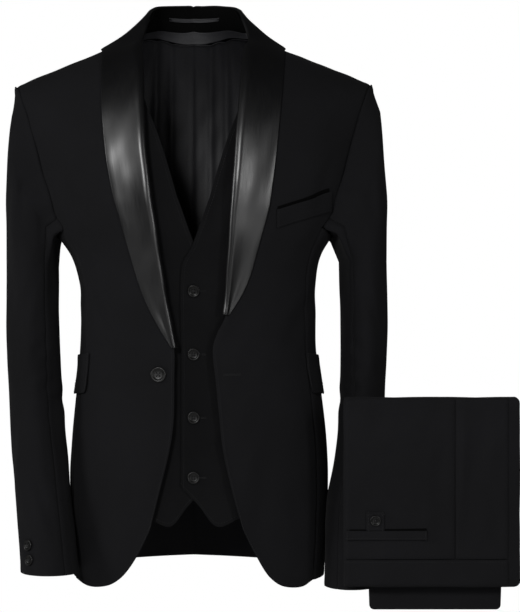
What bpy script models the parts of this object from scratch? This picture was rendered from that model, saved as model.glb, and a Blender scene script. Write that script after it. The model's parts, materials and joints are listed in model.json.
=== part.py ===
"""Three-piece suit: a shawl-collar jacket worn open over a waistcoat, and its folded trousers.

Every panel is a thin closed wall. The torso is one smooth form, read from short tables of
sizes: q runs round it (0 centre front, 1 side, 2 centre back) and w runs up it (below the
chest w is the height under the chest line, above it w follows the curve up to the shoulder
seam). Panels are patches of that form, and what lies on a panel is made from its points,
moved out. Metres, +Z up, the front faces -Y. The origin is the wearer's neck base.
"""

import math

import bmesh
import bpy
import numpy as np

# ---------------------------------------------------------------- driving sizes
WOOL = 0.0016
LINING = 0.0011
SATIN = 0.0016
GAP = 0.0003
SEAM = 0.0004
TINY = 0.0001

CHEST_Z = -0.200
DOME = 0.220
ROUNDNESS = 2.5
WIDE_TO_DEEP = 1.45
BACK_DOME = 0.75
PROBE = 0.004
SEAM_SHARE = 0.905
SHOULDER_SPREAD = 0.068
SHOULDER_HALF = 0.231
NECK_HALF = 0.078
NECK_LOW_W = 0.150
NECK_CURVE = 0.8
UNDERARM_DIP = 0.011
UNDERARM_ROWS = 13

JACKET_BACK_HEM = -0.672
JACKET_SIDE_HEM = -0.680
WAISTCOAT_LIFT = -0.0075
WAISTCOAT_SHOULDER_LIFT = -0.0021
WAISTCOAT_SHOULDER_W = 0.170
WAISTCOAT_NECK_HALF = 0.0735
WAISTCOAT_NECK_LOW_W = 0.152
WAISTCOAT_BAND_RISE = (0.0165, 0.0065)
WAISTCOAT_BAND_LEAN = 0.003
WAISTCOAT_LAP_WIDTH = 0.35
WAISTCOAT_LAP_FADE = 0.04
WAISTCOAT_LAP_FLAT = 1.6
WAISTCOAT_OVERLAP = 0.0028
# The open jacket stands further off the waistcoat in front, up to the chest.
WAISTCOAT_SETBACK = 0.0080
WAISTCOAT_SETBACK_Q = 0.80
WAISTCOAT_SETBACK_W = (0.020, 0.150)
WAISTCOAT_SIDE_HEM = -0.575
WAISTCOAT_BACK_HEM = -0.560


def table(columns, *rows):
    """A short table with named columns, as one array for each column."""
    names = columns.split()
    return {name: np.array([row[i] for row in rows]) for i, name in enumerate(names)}


# Half widths on each hand and depths of the jacket's body at each height.
BODY = table(
    "height right left front back",
    (-0.700, 0.154, 0.168, 0.122, 0.130),
    (-0.620, 0.158, 0.1728, 0.123, 0.131),
    (-0.550, 0.160, 0.1745, 0.119, 0.126),
    (-0.500, 0.157, 0.172, 0.115, 0.120),
    (-0.440, 0.151, 0.165, 0.111, 0.112),
    (-0.390, 0.147, 0.159, 0.108, 0.105),
    (-0.340, 0.146, 0.158, 0.109, 0.102),
    (-0.300, 0.149, 0.159, 0.113, 0.105),
    (-0.270, 0.159, 0.165, 0.117, 0.109),
    (-0.240, 0.178, 0.181, 0.120, 0.113),
    (-0.200, 0.191, 0.192, 0.122, 0.117),
)
# How much higher the shoulder on the wearer's left is worn, for each metre out.
LEFT_SHOULDER_RISE = 0.012
# Height of the shoulder line over the body's half width, at the front and at the back.
RIDGE = table(
    "out front back",
    (0.000, 0.020, 0.038),
    (0.045, 0.017, 0.030),
    (0.078, 0.010, 0.010),
    (0.117, -0.005, -0.005),
    (0.157, -0.021, -0.021),
    (0.194, -0.036, -0.036),
    (0.231, -0.052, -0.052),
    (0.270, -0.070, -0.070),
)
# How far out the armhole edge lies, from the seam under the arm up to the shoulder tip.
ARMHOLE = table(
    "w front back",
    (-0.036, 0.1655, 0.1655),
    (-0.020, 0.1760, 0.1740),
    (0.000, 0.1810, 0.1770),
    (0.040, 0.1950, 0.1850),
    (0.080, 0.2060, 0.1960),
    (0.130, 0.2180, 0.2110),
    (0.180, 0.2260, 0.2230),
    (0.220, 0.2310, 0.2310),
)
# Inner edges of the jacket's fronts: the roll line of the lapel, then the front edge.
FRONT_EDGE = table(
    "w right left",
    (-0.415, 0.0545, 0.0620),
    (-0.365, 0.0420, 0.0480),
    (-0.315, 0.0300, 0.0370),
    (-0.278, 0.0250, 0.0330),
    (-0.228, 0.0243, 0.0280),
    (-0.190, 0.0243, 0.0245),
    (-0.170, 0.0280, 0.0300),
    (-0.150, 0.0320, 0.0400),
    (-0.128, 0.0360, 0.0430),
    (-0.055, 0.0480, 0.0485),
    (0.000, 0.0570, 0.0530),
    (0.050, 0.0655, 0.0590),
    (0.100, 0.0690, 0.0650),
    (0.160, 0.0730, 0.0720),
    (0.220, 0.0780, 0.0780),
)
# The cutaway: the hem of each front, from its front edge to the side seam.
CUTAWAY = table(
    "run out_right out_left height",
    (0.00, 0.0545, 0.0620, -0.6150),
    (0.22, 0.0690, 0.0770, -0.6450),
    (0.42, 0.0860, 0.0920, -0.6705),
    (0.58, 0.1020, 0.1060, -0.6838),
    (0.72, 0.1180, 0.1200, -0.6890),
    (0.86, 0.1350, 0.1380, -0.6895),
    (1.00, 0.1506, 0.1506, -0.6830),
)
# Outer edges of the shawl lapels, from the break point up.
LAPEL_EDGE = table(
    "w right left",
    (-0.190, 0.0262, 0.0260),
    (-0.150, 0.0500, 0.0425),
    (-0.112, 0.0665, 0.0650),
    (-0.060, 0.0820, 0.0810),
    (-0.016, 0.0945, 0.0930),
    (0.028, 0.1070, 0.1015),
    (0.075, 0.1140, 0.1085),
    (0.130, 0.1165, 0.1140),
    (0.180, 0.1165, 0.1165),
)
BREAK_W = {-1: -0.188, 1: -0.146}
FRONT_STATIONS = 14
# Over the shoulder and round the neck: the fold of the collar, and where its edge rests.
NECK_FALL = table(
    "fold_x fold_y fold_z edge_out edge_q edge_w swell",
    (0.0715, -0.034, 0.010, 0.1175, 0, 0.200, 0.004),
    (0.0630, -0.010, 0.0405, 0.1180, 0, 0.220, -0.001),
    (0.0560, 0.034, 0.0560, 0.1010, 1, 0.175, -0.001),
    (0.0365, 0.064, 0.0620, 0.0680, 1, 0.142, 0.006),
    (0.0000, 0.076, 0.064, 0.0000, 1, 0.128, 0.007),
)
# Share by which the collar leans to the wearer's left.
NECK_LEAN = 0.04
COLLAR_EASE = 0.0005
COLLAR_ROLL = 0.0030
COLLAR_ROLL_SHARE = 0.45
COLLAR_ROLL_TURN = (0.022, 0.018)
COLLAR_ROLL_DROP = 0.0010
COLLAR_FOLD_DROP = 0.0012
COLLAR_TUCK = (0.0036, 0.0060)
COLLAR_CLEAR = 0.0005
NECK_ROWS = 13
COLLAR_ACROSS = (0.0, 0.14, 0.40, 0.70, 1.0)
STAND_NARROW = 0.985
STAND_RAISE = 0.0014
STAND_INSET = 0.0064
STAND_DROP = 0.0020
HANGER_TURN = 0.36
HANGER_SHARES = (0.56, 0.66)
HANGER_SLACK = 0.0012

SLEEVE_POINTS = 20
SLEEVE_FRONT_SEAM = 7
SLEEVE_BACK_SEAM = 14
SLEEVE_HEAD_SHARES = (0.0, 0.12, 0.28, 0.46, 0.66, 0.84)
SLEEVE_HEAD_POWER = (0.85, 0.90)
SLEEVE_HEAD_SWELL = 0.024
SLEEVE_HEAD_SWELL_SHARE = 0.667
SLEEVE_HEAD_REACH_SHARE = 0.125
SLEEVE_ROWS = 13
# Sleeves below the armhole: section centres come from the outer and inner edges.
RIGHT_SLEEVE = table(
    "height outer inner middle depth",
    (-0.285, 0.242, 0.1760, 0.000, 0.064),
    (-0.330, 0.242, 0.1755, 0.000, 0.060),
    (-0.380, 0.242, 0.1735, -0.004, 0.057),
    (-0.430, 0.239, 0.1710, -0.012, 0.055),
    (-0.480, 0.236, 0.1670, -0.024, 0.053),
    (-0.530, 0.232, 0.1615, -0.038, 0.051),
    (-0.580, 0.227, 0.1560, -0.054, 0.050),
    (-0.630, 0.222, 0.1495, -0.070, 0.049),
    (-0.671, 0.218, 0.1445, -0.084, 0.048),
)
LEFT_SLEEVE = table(
    "height outer inner middle depth",
    (-0.278, 0.250, 0.1900, 0.000, 0.064),
    (-0.330, 0.251, 0.1910, 0.000, 0.060),
    (-0.380, 0.251, 0.1910, -0.003, 0.057),
    (-0.430, 0.248, 0.1905, -0.008, 0.055),
    (-0.480, 0.246, 0.1880, -0.018, 0.053),
    (-0.530, 0.243, 0.1825, -0.030, 0.051),
    (-0.580, 0.239, 0.1710, -0.043, 0.050),
    (-0.630, 0.235, 0.1680, -0.056, 0.049),
    (-0.690, 0.231, 0.1665, -0.070, 0.048),
)
# The sleeve head's outline from the shoulder tip down to the first full section.
SLEEVE_HEAD = table(
    "rise right left",
    (-0.052, 0.2310, 0.2390),
    (-0.075, 0.2335, 0.2410),
    (-0.100, 0.2345, 0.2405),
    (-0.150, 0.2400, 0.2440),
    (-0.210, 0.2420, 0.2500),
    (-0.285, 0.2420, 0.2500),
)
# Waistcoat fronts: the V neck and the buttoning edge, which passes the centre line.
WAISTCOAT_EDGE = table(
    "w out",
    (-0.362, -0.0156),
    (-0.200, -0.0156),
    (-0.087, -0.0150),
    (-0.062, -0.0020),
    (0.000, 0.0208),
    (0.050, 0.0430),
    (0.095, 0.0645),
    (0.150, 0.0710),
    (0.220, 0.0735),
)
WAISTCOAT_HEM = table(
    "run out height",
    (0.00, -0.0156, -0.5620),
    (0.14, 0.0070, -0.5850),
    (0.28, 0.0295, -0.6110),
    (0.46, 0.0600, -0.6010),
    (0.74, 0.1100, -0.5860),
    (1.00, 0.1615, -0.5750),
)
WAISTCOAT_ARMHOLE = table(
    "w front back",
    (-0.065, 1.000, 1.000),
    (-0.045, 0.900, 1.080),
    (-0.010, 0.790, 1.180),
    (0.040, 0.690, 1.270),
    (0.100, 0.590, 1.380),
    (0.160, 0.510, 1.480),
    (0.220, 0.475, 1.525),
)
LINING_FOLDS = table(
    "across deep wide",
    (-0.052, 0.0030, 0.0050),
    (-0.030, 0.0020, 0.0040),
    (0.024, 0.0022, 0.0045),
    (0.046, 0.0030, 0.0055),
)

LINING_FOLDS_START_Q = 1.5
LINING_FOLDS_LOW_W = -0.22
LINING_FOLDS_FADE = 0.10

# Pockets on the jacket: the slanting chest welt, and the flaps at the hips.
WELT_OUT = 0.1040
WELT_WIDTH = 0.0700
WELT_HEIGHT = 0.0225
WELT_LOW_W = -0.0375
WELT_SLANT = 0.0230
FLAP_START_Q = 0.70
FLAP_END_Q = 1.04
FLAP_TOP_W = -0.196
FLAP_SLANT = 0.004
FLAP_HEIGHT = 0.050
FLAP_CORNER = 0.012
FLAP_CORNER_SHARE = 0.14
FLAP_EASE = 0.0005

BUTTON_RADIUS = 0.0100
SMALL_BUTTON_RADIUS = 0.0080
CUFF_BUTTON_RADIUS = 0.0070
JACKET_BUTTON = (0.0440, -0.4215)
WAISTCOAT_BUTTON_HEIGHTS = (-0.318, -0.396, -0.475, -0.550)
BUTTON_SIDES = 14
BUTTON_PROFILE = table(
    "radius height",
    (0.80, 0.0000),
    (1.00, 0.0012),
    (0.90, 0.0027),
    (0.62, 0.0019),
)
CUFF_BUTTON_RISES = (0.018, 0.036)
CUFF_BUTTON_SPOT = {-1: 3, 1: 2}

# Folded trousers.
TROUSERS_LEFT = 0.1860
TROUSERS_WIDTH = 0.2195
TROUSERS_TOP = -0.4480
TROUSERS_HEIGHT = 0.2365
TROUSERS_LAYERS = 3
LAYER_THICK = 0.0085
LAYER_SLACK = 0.0015
LAYER_CORNER = 0.006
LAYER_SECTION = table(
    "share inset",
    (0.01, 0.0032),
    (0.25, 0.0007),
    (0.50, 0.0000),
    (0.75, 0.0007),
    (0.99, 0.0032),
)
LEG_HEM_LEFT = 0.2200
LEG_HEM_WIDTH = 0.1640
LEG_HEM_DROP = 0.0305
LEG_THICK = 0.0080
LEG_TUCK = 0.0300
LEG_SPREAD = 0.10
LEG_CORNER = 0.006
LEG_SECTION = table(
    "share inset",
    (0.00, 0.0022),
    (0.20, 0.0004),
    (0.42, 0.0000),
    (0.50, 0.0012),
    (0.58, 0.0000),
    (0.80, 0.0004),
    (1.00, 0.0022),
)
WAISTBAND_HEIGHT = 0.0350
WAISTBAND_THICK = 0.0018
WAISTBAND_PROUD = 0.0002
PANEL_INSET = 0.001
WAISTBAND_INSET = 0.002
TROUSER_SEAM = 0.1380
TROUSER_FRONT_END = 0.2050
SEAT_CROWN = 0.0015
POCKET_MOUTH = -0.6139
POCKET_LEFT = 0.003
POCKET_WIDTH = 0.100
POCKET_WELT = 0.0110
TAB_LEFT = 0.028
TAB_WIDTH = 0.022
TAB_HEIGHT = 0.0235
TAB_CLEAR = 0.001
TAB_BUTTON_RISE = 0.013


# ---------------------------------------------------------------- reading tables
def curve(keys, values, at):
    """A smooth curve through a table's rows, read at one place."""
    if keys[0] > keys[-1]:
        keys, values = keys[::-1], values[::-1]
    at = min(max(at, keys[0]), keys[-1])
    i = int(min(max(np.searchsorted(keys, at) - 1, 0), len(keys) - 2))
    slopes = []
    for k in (i, i + 1):
        low, high = max(k - 1, 0), min(k + 1, len(keys) - 1)
        slopes.append((values[high] - values[low]) / (keys[high] - keys[low]))
    step = keys[i + 1] - keys[i]
    t = (at - keys[i]) / step
    start = (1 + 2 * t) * (1 - t) ** 2 * values[i] + t * (1 - t) ** 2 * step * slopes[0]
    end = t * t * (3 - 2 * t) * values[i + 1] + t * t * (t - 1) * step * slopes[1]
    return start + end


def quarter_round():
    """A quarter of the body's rounded section, spaced evenly along its length."""
    turn = np.linspace(0, math.pi / 2, 2000)
    out = np.sin(turn) ** (2 / ROUNDNESS)
    fore = np.cos(turn) ** (2 / ROUNDNESS)
    steps = np.hypot(np.diff(out * WIDE_TO_DEEP), np.diff(fore))
    length = np.concatenate([[0], np.cumsum(steps)])
    return length / length[-1], out, fore


QUARTER, QUARTER_OUT, QUARTER_FORE = quarter_round()


def side_key(side):
    """The wearer's right is -1, the viewer's left."""
    return "right" if side < 0 else "left"


def half_width(side, w):
    below = curve(BODY["height"], BODY[side_key(side)], CHEST_Z + min(w, 0))
    return below + SHOULDER_SPREAD * max(w, 0) / DOME


def q_of(side, out, w, back=False):
    """Where on the section a point so far out from the centre lies."""
    share = min(abs(out) / half_width(side, w), 1)
    q = math.copysign(np.interp(share, QUARTER_OUT, QUARTER), out)
    return 2 - q if back else q


def torso(side, q, w, lift=0.0):
    """A point on the body's form, lifted off it along its outward normal."""
    if lift:
        below_tip = DOME - TINY
        here = torso(side, q, w)
        across = torso(side, q + PROBE, w) - torso(side, q - PROBE, w)
        upper, lower = min(w + PROBE, below_tip), min(w, below_tip) - PROBE
        along = torso(side, q, upper) - torso(side, q, lower)
        normal = np.cross(across, along) * side
        return here + normal / np.linalg.norm(normal) * lift
    back = q > 1
    around = 2 - q if back else q
    out = half_width(side, w) * np.interp(abs(around), QUARTER, QUARTER_OUT)
    fore = np.interp(abs(around), QUARTER, QUARTER_FORE)
    if around < 0:
        out = -out
    height = CHEST_Z + min(w, 0)
    depth = curve(BODY["height"], BODY["back" if back else "front"], height) * fore
    if w > 0:
        turn = math.pi / 2 * w / DOME
        power = BACK_DOME if back else 1.0
        top = curve(RIDGE["out"], RIDGE["back" if back else "front"], abs(out))
        top += LEFT_SHOULDER_RISE * max(side * out, 0)
        depth *= max(math.cos(turn), 0) ** power
        height = CHEST_Z + (top - CHEST_Z) * math.sin(turn) ** power
    return np.array([side * out, depth if back else -depth, height])


# ---------------------------------------------------------------- walls
def runs(split, below, above):
    """Places from 0 to 1 with one exactly at the split."""
    lower = np.linspace(0, split, below + 1)
    return np.concatenate([lower, np.linspace(split, 1, above + 1)[1:]])


def patch(inner, outer, bottom, top, up, columns):
    """A grid of (q, w) that blends four edges, each a function of its own 0 to 1 run."""
    grid = np.zeros((len(up), columns + 1, 2))
    corners = [np.array(bottom(0)), np.array(bottom(1)), np.array(top(0)), np.array(top(1))]
    for i, v in enumerate(up):
        for j in range(columns + 1):
            u = j / columns
            sides = (1 - u) * np.array(inner(v)) + u * np.array(outer(v))
            ends = (1 - v) * np.array(bottom(u)) + v * np.array(top(u))
            flat = (1 - v) * ((1 - u) * corners[0] + u * corners[1])
            flat = flat + v * ((1 - u) * corners[2] + u * corners[3])
            grid[i, j] = sides + ends - flat
    return grid


def pull_edges(points, first_row=0.0, last_row=0.0, first_column=0.0, last_column=0.0):
    """Draws the edges of a grid in, along its own lines, to leave room at the seams."""
    points = points.copy()

    def drawn(edge, inner, distance):
        line = inner - edge
        length = np.maximum(np.linalg.norm(line, axis=-1, keepdims=True), 1e-9)
        return edge + line / length * np.minimum(distance, length * 0.5)

    points[0] = drawn(points[0], points[1], first_row)
    points[-1] = drawn(points[-1], points[-2], last_row)
    points[:, 0] = drawn(points[:, 0], points[:, 1], first_column)
    points[:, -1] = drawn(points[:, -1], points[:, -2], last_column)
    return points


def grid_normals(points, ring=False):
    if ring:
        across = np.roll(points, -1, axis=1) - np.roll(points, 1, axis=1)
    else:
        across = np.gradient(points, axis=1)
    along = np.gradient(points, axis=0)
    normals = np.cross(across, along)
    return normals / np.maximum(np.linalg.norm(normals, axis=2, keepdims=True), 1e-12)


def mesh_object(name, points, faces, material):
    mesh = bpy.data.meshes.new(name)
    mesh.from_pydata([tuple(point) for point in points], [], faces)
    closed = bmesh.new()
    closed.from_mesh(mesh)
    bmesh.ops.recalc_face_normals(closed, faces=closed.faces)
    closed.to_mesh(mesh)
    closed.free()
    mesh.shade_smooth()
    mesh.set_sharp_from_angle(angle=math.radians(50))
    mesh.materials.append(material)
    made = bpy.data.objects.new(name, mesh)
    bpy.context.scene.collection.objects.link(made)
    return made


def wall(name, face, inside, material):
    """A closed wall between a grid of outer points and a grid of inner points."""
    rows, columns = face.shape[:2]
    count = rows * columns
    points = np.concatenate([face.reshape(-1, 3), inside.reshape(-1, 3)])
    faces = []
    for i in range(rows - 1):
        for j in range(columns - 1):
            a, b = i * columns + j, i * columns + j + 1
            c, d = b + columns, a + columns
            faces.append((a, b, c, d))
            faces.append((a + count, d + count, c + count, b + count))
    for j in range(columns - 1):
        for a in (j, j + (rows - 1) * columns):
            faces.append((a, a + count, a + 1 + count, a + 1))
    for i in range(rows - 1):
        for a in (i * columns, i * columns + columns - 1):
            faces.append((a, a + columns, a + columns + count, a + count))
    return mesh_object(name, points, faces, material)


def backed(face, thickness, toward):
    """The inner points of a wall: the face moved by its thickness, to the side of a point."""
    normals = grid_normals(face)
    middle = face.mean(axis=(0, 1))
    if np.dot(normals.mean(axis=(0, 1)), np.array(toward) - middle) < 0:
        normals = -normals
    return face + normals * thickness


def on_torso(side, grid, lift=0.0):
    return np.array([[torso(side, q, w, lift) for q, w in row] for row in grid])


def torso_panel(name, side, grid, lift, thickness, material, seams):
    """A wall that follows the body's form, drawn in at its seams."""
    face = pull_edges(on_torso(side, grid, lift), *seams)
    inside = pull_edges(on_torso(side, grid, lift - thickness), *seams)
    return wall(side_name(name, side), face, inside, material)


def loft(name, rings, material):
    """A closed body through rings of points, with a flat cap at each end."""
    rings = np.array(rings)
    count, size = rings.shape[:2]
    faces = []
    for i in range(count - 1):
        for j in range(size):
            a, b = i * size + j, i * size + (j + 1) % size
            faces.append((a, b, b + size, a + size))
    faces.append(tuple(reversed(range(size))))
    faces.append(tuple((count - 1) * size + j for j in range(size)))
    return mesh_object(name, rings.reshape(-1, 3), faces, material)


# ---------------------------------------------------------------- materials
def finish(name, hex_colour, roughness):
    """A plain Principled finish from an sRGB colour."""
    parts = [int(hex_colour[i : i + 2], 16) / 255 for i in (0, 2, 4)]
    linear = [c / 12.92 if c <= 0.04045 else ((c + 0.055) / 1.055) ** 2.4 for c in parts]
    material = bpy.data.materials.new(name)
    material.use_nodes = True
    shader = material.node_tree.nodes["Principled BSDF"]
    shader.inputs["Base Color"].default_value = (*linear, 1)
    shader.inputs["Roughness"].default_value = roughness
    shader.inputs["Metallic"].default_value = 0.0
    return material


# ---------------------------------------------------------------- jacket body
def front_edge(side, w):
    return curve(FRONT_EDGE["w"], FRONT_EDGE[side_key(side)], w)


def side_seam(back=False):
    q = float(np.interp(SEAM_SHARE, QUARTER_OUT, QUARTER))
    return 2 - q if back else q


def armhole(side, w, back=False):
    return q_of(side, curve(ARMHOLE["w"], ARMHOLE["back" if back else "front"], w), w, back)


UNDERARM_W = float(ARMHOLE["w"][0])


def outer_edge(side, bottom_w, back, share):
    """Up the side seam and on round the armhole to the shoulder tip."""
    w = bottom_w + (DOME - bottom_w) * share
    return (side_seam(back) if w < UNDERARM_W + TINY else armhole(side, w, back), w)


def underarm(q):
    """How far the side panel's top edge dips between its two seams."""
    share = (q - side_seam()) / (side_seam(True) - side_seam())
    return UNDERARM_W - UNDERARM_DIP * math.sin(math.pi * share)


def neck_w(share):
    """The back neck's seam, from a neck point (0) down to the centre back (1)."""
    return DOME - (DOME - NECK_LOW_W) * math.sin(share * math.pi / 2) ** NECK_CURVE


def jacket_front(side, material):
    hem = CUTAWAY["out_" + side_key(side)]
    low = CUTAWAY["height"][0] - CHEST_Z
    side_low = CUTAWAY["height"][-1] - CHEST_Z

    def inner(v):
        w = low + (DOME - low) * v
        return q_of(side, front_edge(side, w), w), w

    def bottom(u):
        w = curve(CUTAWAY["run"], CUTAWAY["height"], u) - CHEST_Z
        if u == 1:
            return side_seam(), side_low
        return q_of(side, curve(CUTAWAY["run"], hem, u), w), w

    def top(u):
        return q_of(side, NECK_HALF + (SHOULDER_HALF - NECK_HALF) * u, DOME), DOME

    up = runs((UNDERARM_W - side_low) / (DOME - side_low), UNDERARM_ROWS, 9)
    grid = patch(inner, lambda v: outer_edge(side, side_low, False, v), bottom, top, up, 8)
    seams = (0, SEAM, 0, SEAM)
    return torso_panel("jacket_front", side, grid, 0.0, WOOL, material, seams)


def hem_w(q):
    """The jacket's hem behind the side seam of the front: it rises a little to the back."""
    share = max(min((q - side_seam()) / (2 - side_seam()), 1), 0)
    return JACKET_SIDE_HEM - 0.003 + (JACKET_BACK_HEM - JACKET_SIDE_HEM + 0.003) * share - CHEST_Z


def jacket_side(side, material):
    def inner(v):
        low = hem_w(side_seam())
        w = low + (UNDERARM_W - low) * v
        return side_seam(), w

    def outer(v):
        low = hem_w(side_seam(True))
        w = low + (UNDERARM_W - low) * v
        return side_seam(True), w

    def bottom(u):
        q = side_seam() + (side_seam(True) - side_seam()) * u
        return q, hem_w(q)

    def top(u):
        q = side_seam() + (side_seam(True) - side_seam()) * u
        return q, underarm(q)

    seams = (0, SEAM, SEAM, SEAM)
    grid = patch(inner, outer, bottom, top, runs(1.0, UNDERARM_ROWS, 0), 5)
    return torso_panel("jacket_side", side, grid, 0.0, WOOL, material, seams)


def jacket_back(side, material):
    def centre(v):
        low = JACKET_BACK_HEM - CHEST_Z
        return 2.0, low + (NECK_LOW_W - low) * v

    def bottom(u):
        q = side_seam(True) + (2 - side_seam(True)) * u
        return q, hem_w(q)

    def top(u):
        out = SHOULDER_HALF * (1 - u)
        w = neck_w(max(1 - out / NECK_HALF, 0))
        return q_of(side, out, w, True), w

    low = hem_w(side_seam(True))
    up = runs((UNDERARM_W - low) / (DOME - low), UNDERARM_ROWS, 9)
    grid = patch(lambda v: outer_edge(side, low, True, v), centre, bottom, top, up, 8)
    seams = (0, SEAM, SEAM, SEAM)
    return torso_panel("jacket_back", side, grid, 0.0, WOOL, material, seams)


# ---------------------------------------------------------------- sleeves
def armhole_loop(side, count):
    """Evenly spaced points round the armhole, from the tip down the front and up the back."""
    path = []
    for w in np.linspace(DOME, UNDERARM_W, 40):
        path.append(torso(side, armhole(side, w), w))
    start, end = side_seam(), side_seam(True)
    for q in np.linspace(start, end, 20)[1:-1]:
        path.append(torso(side, q, underarm(q)))
    for w in np.linspace(UNDERARM_W, DOME, 40):
        path.append(torso(side, armhole(side, w, True), w))
    path = np.array(path)
    length = np.concatenate([[0], np.cumsum(np.linalg.norm(np.diff(path, axis=0), axis=1))])
    places = np.linspace(0, length[-1], count, endpoint=False)
    return np.array([[np.interp(at, length, path[:, k]) for k in range(3)] for at in places])


def sleeve_section(side, sizes, height, count):
    outer = curve(sizes["height"], sizes["outer"], height)
    inner = curve(sizes["height"], sizes["inner"], height)
    middle = curve(sizes["height"], sizes["middle"], height)
    depth = curve(sizes["height"], sizes["depth"], height)
    ring = []
    for k in range(count):
        turn = 2 * math.pi * k / count
        out = (outer + inner) / 2 + (outer - inner) / 2 * math.cos(turn)
        ring.append([side * out, middle - depth * math.sin(turn), height])
    return np.array(ring)


def sleeve_rings(side, count):
    """Rings from the armhole, round the sleeve head, and down to the cuff."""
    sizes = RIGHT_SLEEVE if side < 0 else LEFT_SLEEVE
    key = side_key(side)
    first = float(sizes["height"][0])
    loop = armhole_loop(side, count)
    full = sleeve_section(side, sizes, first, count)
    rings = []
    for share in SLEEVE_HEAD_SHARES:
        ring = []
        for k in range(count):
            top = (1 + math.cos(2 * math.pi * k / count)) / 2
            drop = share ** (SLEEVE_HEAD_POWER[0] + (SLEEVE_HEAD_POWER[1] - SLEEVE_HEAD_POWER[0]) * top)
            point = loop[k] + (full[k] - loop[k]) * drop
            reach = curve(SLEEVE_HEAD["rise"], SLEEVE_HEAD[key], point[2])
            swell = 1 + SLEEVE_HEAD_SWELL * math.sin(math.pi * min(share / SLEEVE_HEAD_SWELL_SHARE, 1))
            begun = min(share / SLEEVE_HEAD_REACH_SHARE, 1)
            out = abs(point[0]) + top * (reach - abs(loop[k][0])) * (1 - share) * begun
            ring.append([side * out, point[1] * swell, point[2]])
        rings.append(np.array(ring))
    rings[0] = rings[0] + np.array([side * 4 * GAP, 0, 0])
    for height in np.linspace(first, float(sizes["height"][-1]), SLEEVE_ROWS):
        rings.append(sleeve_section(side, sizes, height, count))
    return np.array(rings)


def sleeve(side, material):
    """The top sleeve covers the front and outside, the under sleeve the inside and back."""
    count = SLEEVE_POINTS
    rings = sleeve_rings(side, count)
    normals = grid_normals(rings, ring=True)
    if np.dot(normals[-1, 0], [side, 0, 0]) > 0:
        normals = -normals
    inside = rings + normals * WOOL
    top_columns = [k % count for k in range(SLEEVE_BACK_SEAM, SLEEVE_FRONT_SEAM + count + 1)]
    under_columns = list(range(SLEEVE_FRONT_SEAM, SLEEVE_BACK_SEAM + 1))
    for name, columns in (("top_sleeve", top_columns), ("under_sleeve", under_columns)):
        face = pull_edges(rings[:, columns], 0, 0, SEAM, SEAM)
        back = pull_edges(inside[:, columns], 0, 0, SEAM, SEAM)
        wall(side_name(name, side), face, back, material)


# ---------------------------------------------------------------- shawl collar
def band_across(fold, middle, edge, share):
    """A point on the gentle curve from the fold of the collar to its edge."""
    return (1 - share) ** 2 * fold + 2 * share * (1 - share) * middle + share**2 * edge


def shawl(side, material):
    key = side_key(side)
    lift = GAP + SATIN + COLLAR_EASE
    rows = []
    for w in np.linspace(BREAK_W[side], 0.160, FRONT_STATIONS):
        inner, outer = front_edge(side, w), curve(LAPEL_EDGE["w"], LAPEL_EDGE[key], w)
        row = []
        for share in COLLAR_ACROSS:
            q = q_of(side, inner + (outer - inner) * share, w)
            raised = lift + COLLAR_ROLL * max(1 - share / COLLAR_ROLL_SHARE, 0)
            row.append(torso(side, q, w, raised))
        fold_q = q_of(side, inner, w)
        rolled = torso(side, fold_q - COLLAR_ROLL_TURN[0], w, lift - COLLAR_ROLL_DROP)
        tucked = torso(side, fold_q - COLLAR_ROLL_TURN[1], w, -WOOL - COLLAR_EASE)
        rows.append([tucked, rolled] + row)
    for i in range(len(NECK_FALL["fold_x"])):
        size = {name: float(NECK_FALL[name][i]) for name in NECK_FALL}
        fold_x = size["fold_x"] * (side + NECK_LEAN)
        fold = np.array([fold_x, size["fold_y"], size["fold_z"]])
        w = size["edge_w"]
        edge = torso(side, q_of(side, size["edge_out"], w, size["edge_q"] == 1), w, lift)
        outward = edge - fold
        outward[2] = 0
        outward = outward / np.linalg.norm(outward)
        middle = (fold + edge) / 2 + outward * size["swell"] + np.array([0, 0, size["swell"]])
        row = [band_across(fold, middle, edge, share) for share in COLLAR_ACROSS]
        rolled = fold - outward * COLLAR_ROLL - np.array([0, 0, COLLAR_FOLD_DROP])
        tucked = fold - outward * COLLAR_TUCK[0] - np.array([0, 0, COLLAR_TUCK[1]])
        rows.append([tucked, rolled] + row)
    face = smooth_rows(np.array(rows), FRONT_STATIONS)
    for row in face[FRONT_STATIONS:]:
        for j in range(3, len(row)):
            row[j] = above_shoulder(side, row[j], lift)
    outward = grid_normals(face) * side
    back = face - outward * SATIN
    seams = (0, SEAM, 0, 0)
    name = side_name("shawl_collar", side)
    return wall(name, pull_edges(face, *seams), pull_edges(back, *seams), material)


def above_shoulder(side, point, lift):
    """Keeps a point of the collar clear above the jacket's shoulder and back."""
    out, low, high = abs(point[0]), 0.0, DOME
    back = point[1] > 0
    for _ in range(30):
        w = (low + high) / 2
        spot = torso(side, q_of(side, out, w, back), w)
        if abs(spot[1]) > abs(point[1]):
            low = w
        else:
            high = w
    return np.array([point[0], point[1], max(point[2], spot[2] + lift + COLLAR_CLEAR)])


def smooth_rows(rows, first_neck):
    """Adds rows between the rows round the neck, on a smooth curve through them."""
    keys = np.arange(len(rows), dtype=float)
    flat = rows.reshape(len(rows), -1)
    places = list(keys[:first_neck]) + list(np.linspace(first_neck - 1, len(rows) - 1, NECK_ROWS))
    smooth = [[curve(keys, flat[:, k], at) for k in range(flat.shape[1])] for at in sorted(set(places))]
    return np.array(smooth).reshape(len(smooth), *rows.shape[1:])


def neck_line(turn):
    """The neck seam of the jacket's back, from one neck point (-1) to the other (1)."""
    w = neck_w(1 - abs(turn))
    side = 1 if turn >= 0 else -1
    return torso(side, q_of(side, NECK_HALF * abs(turn), w, True), w)


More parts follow.
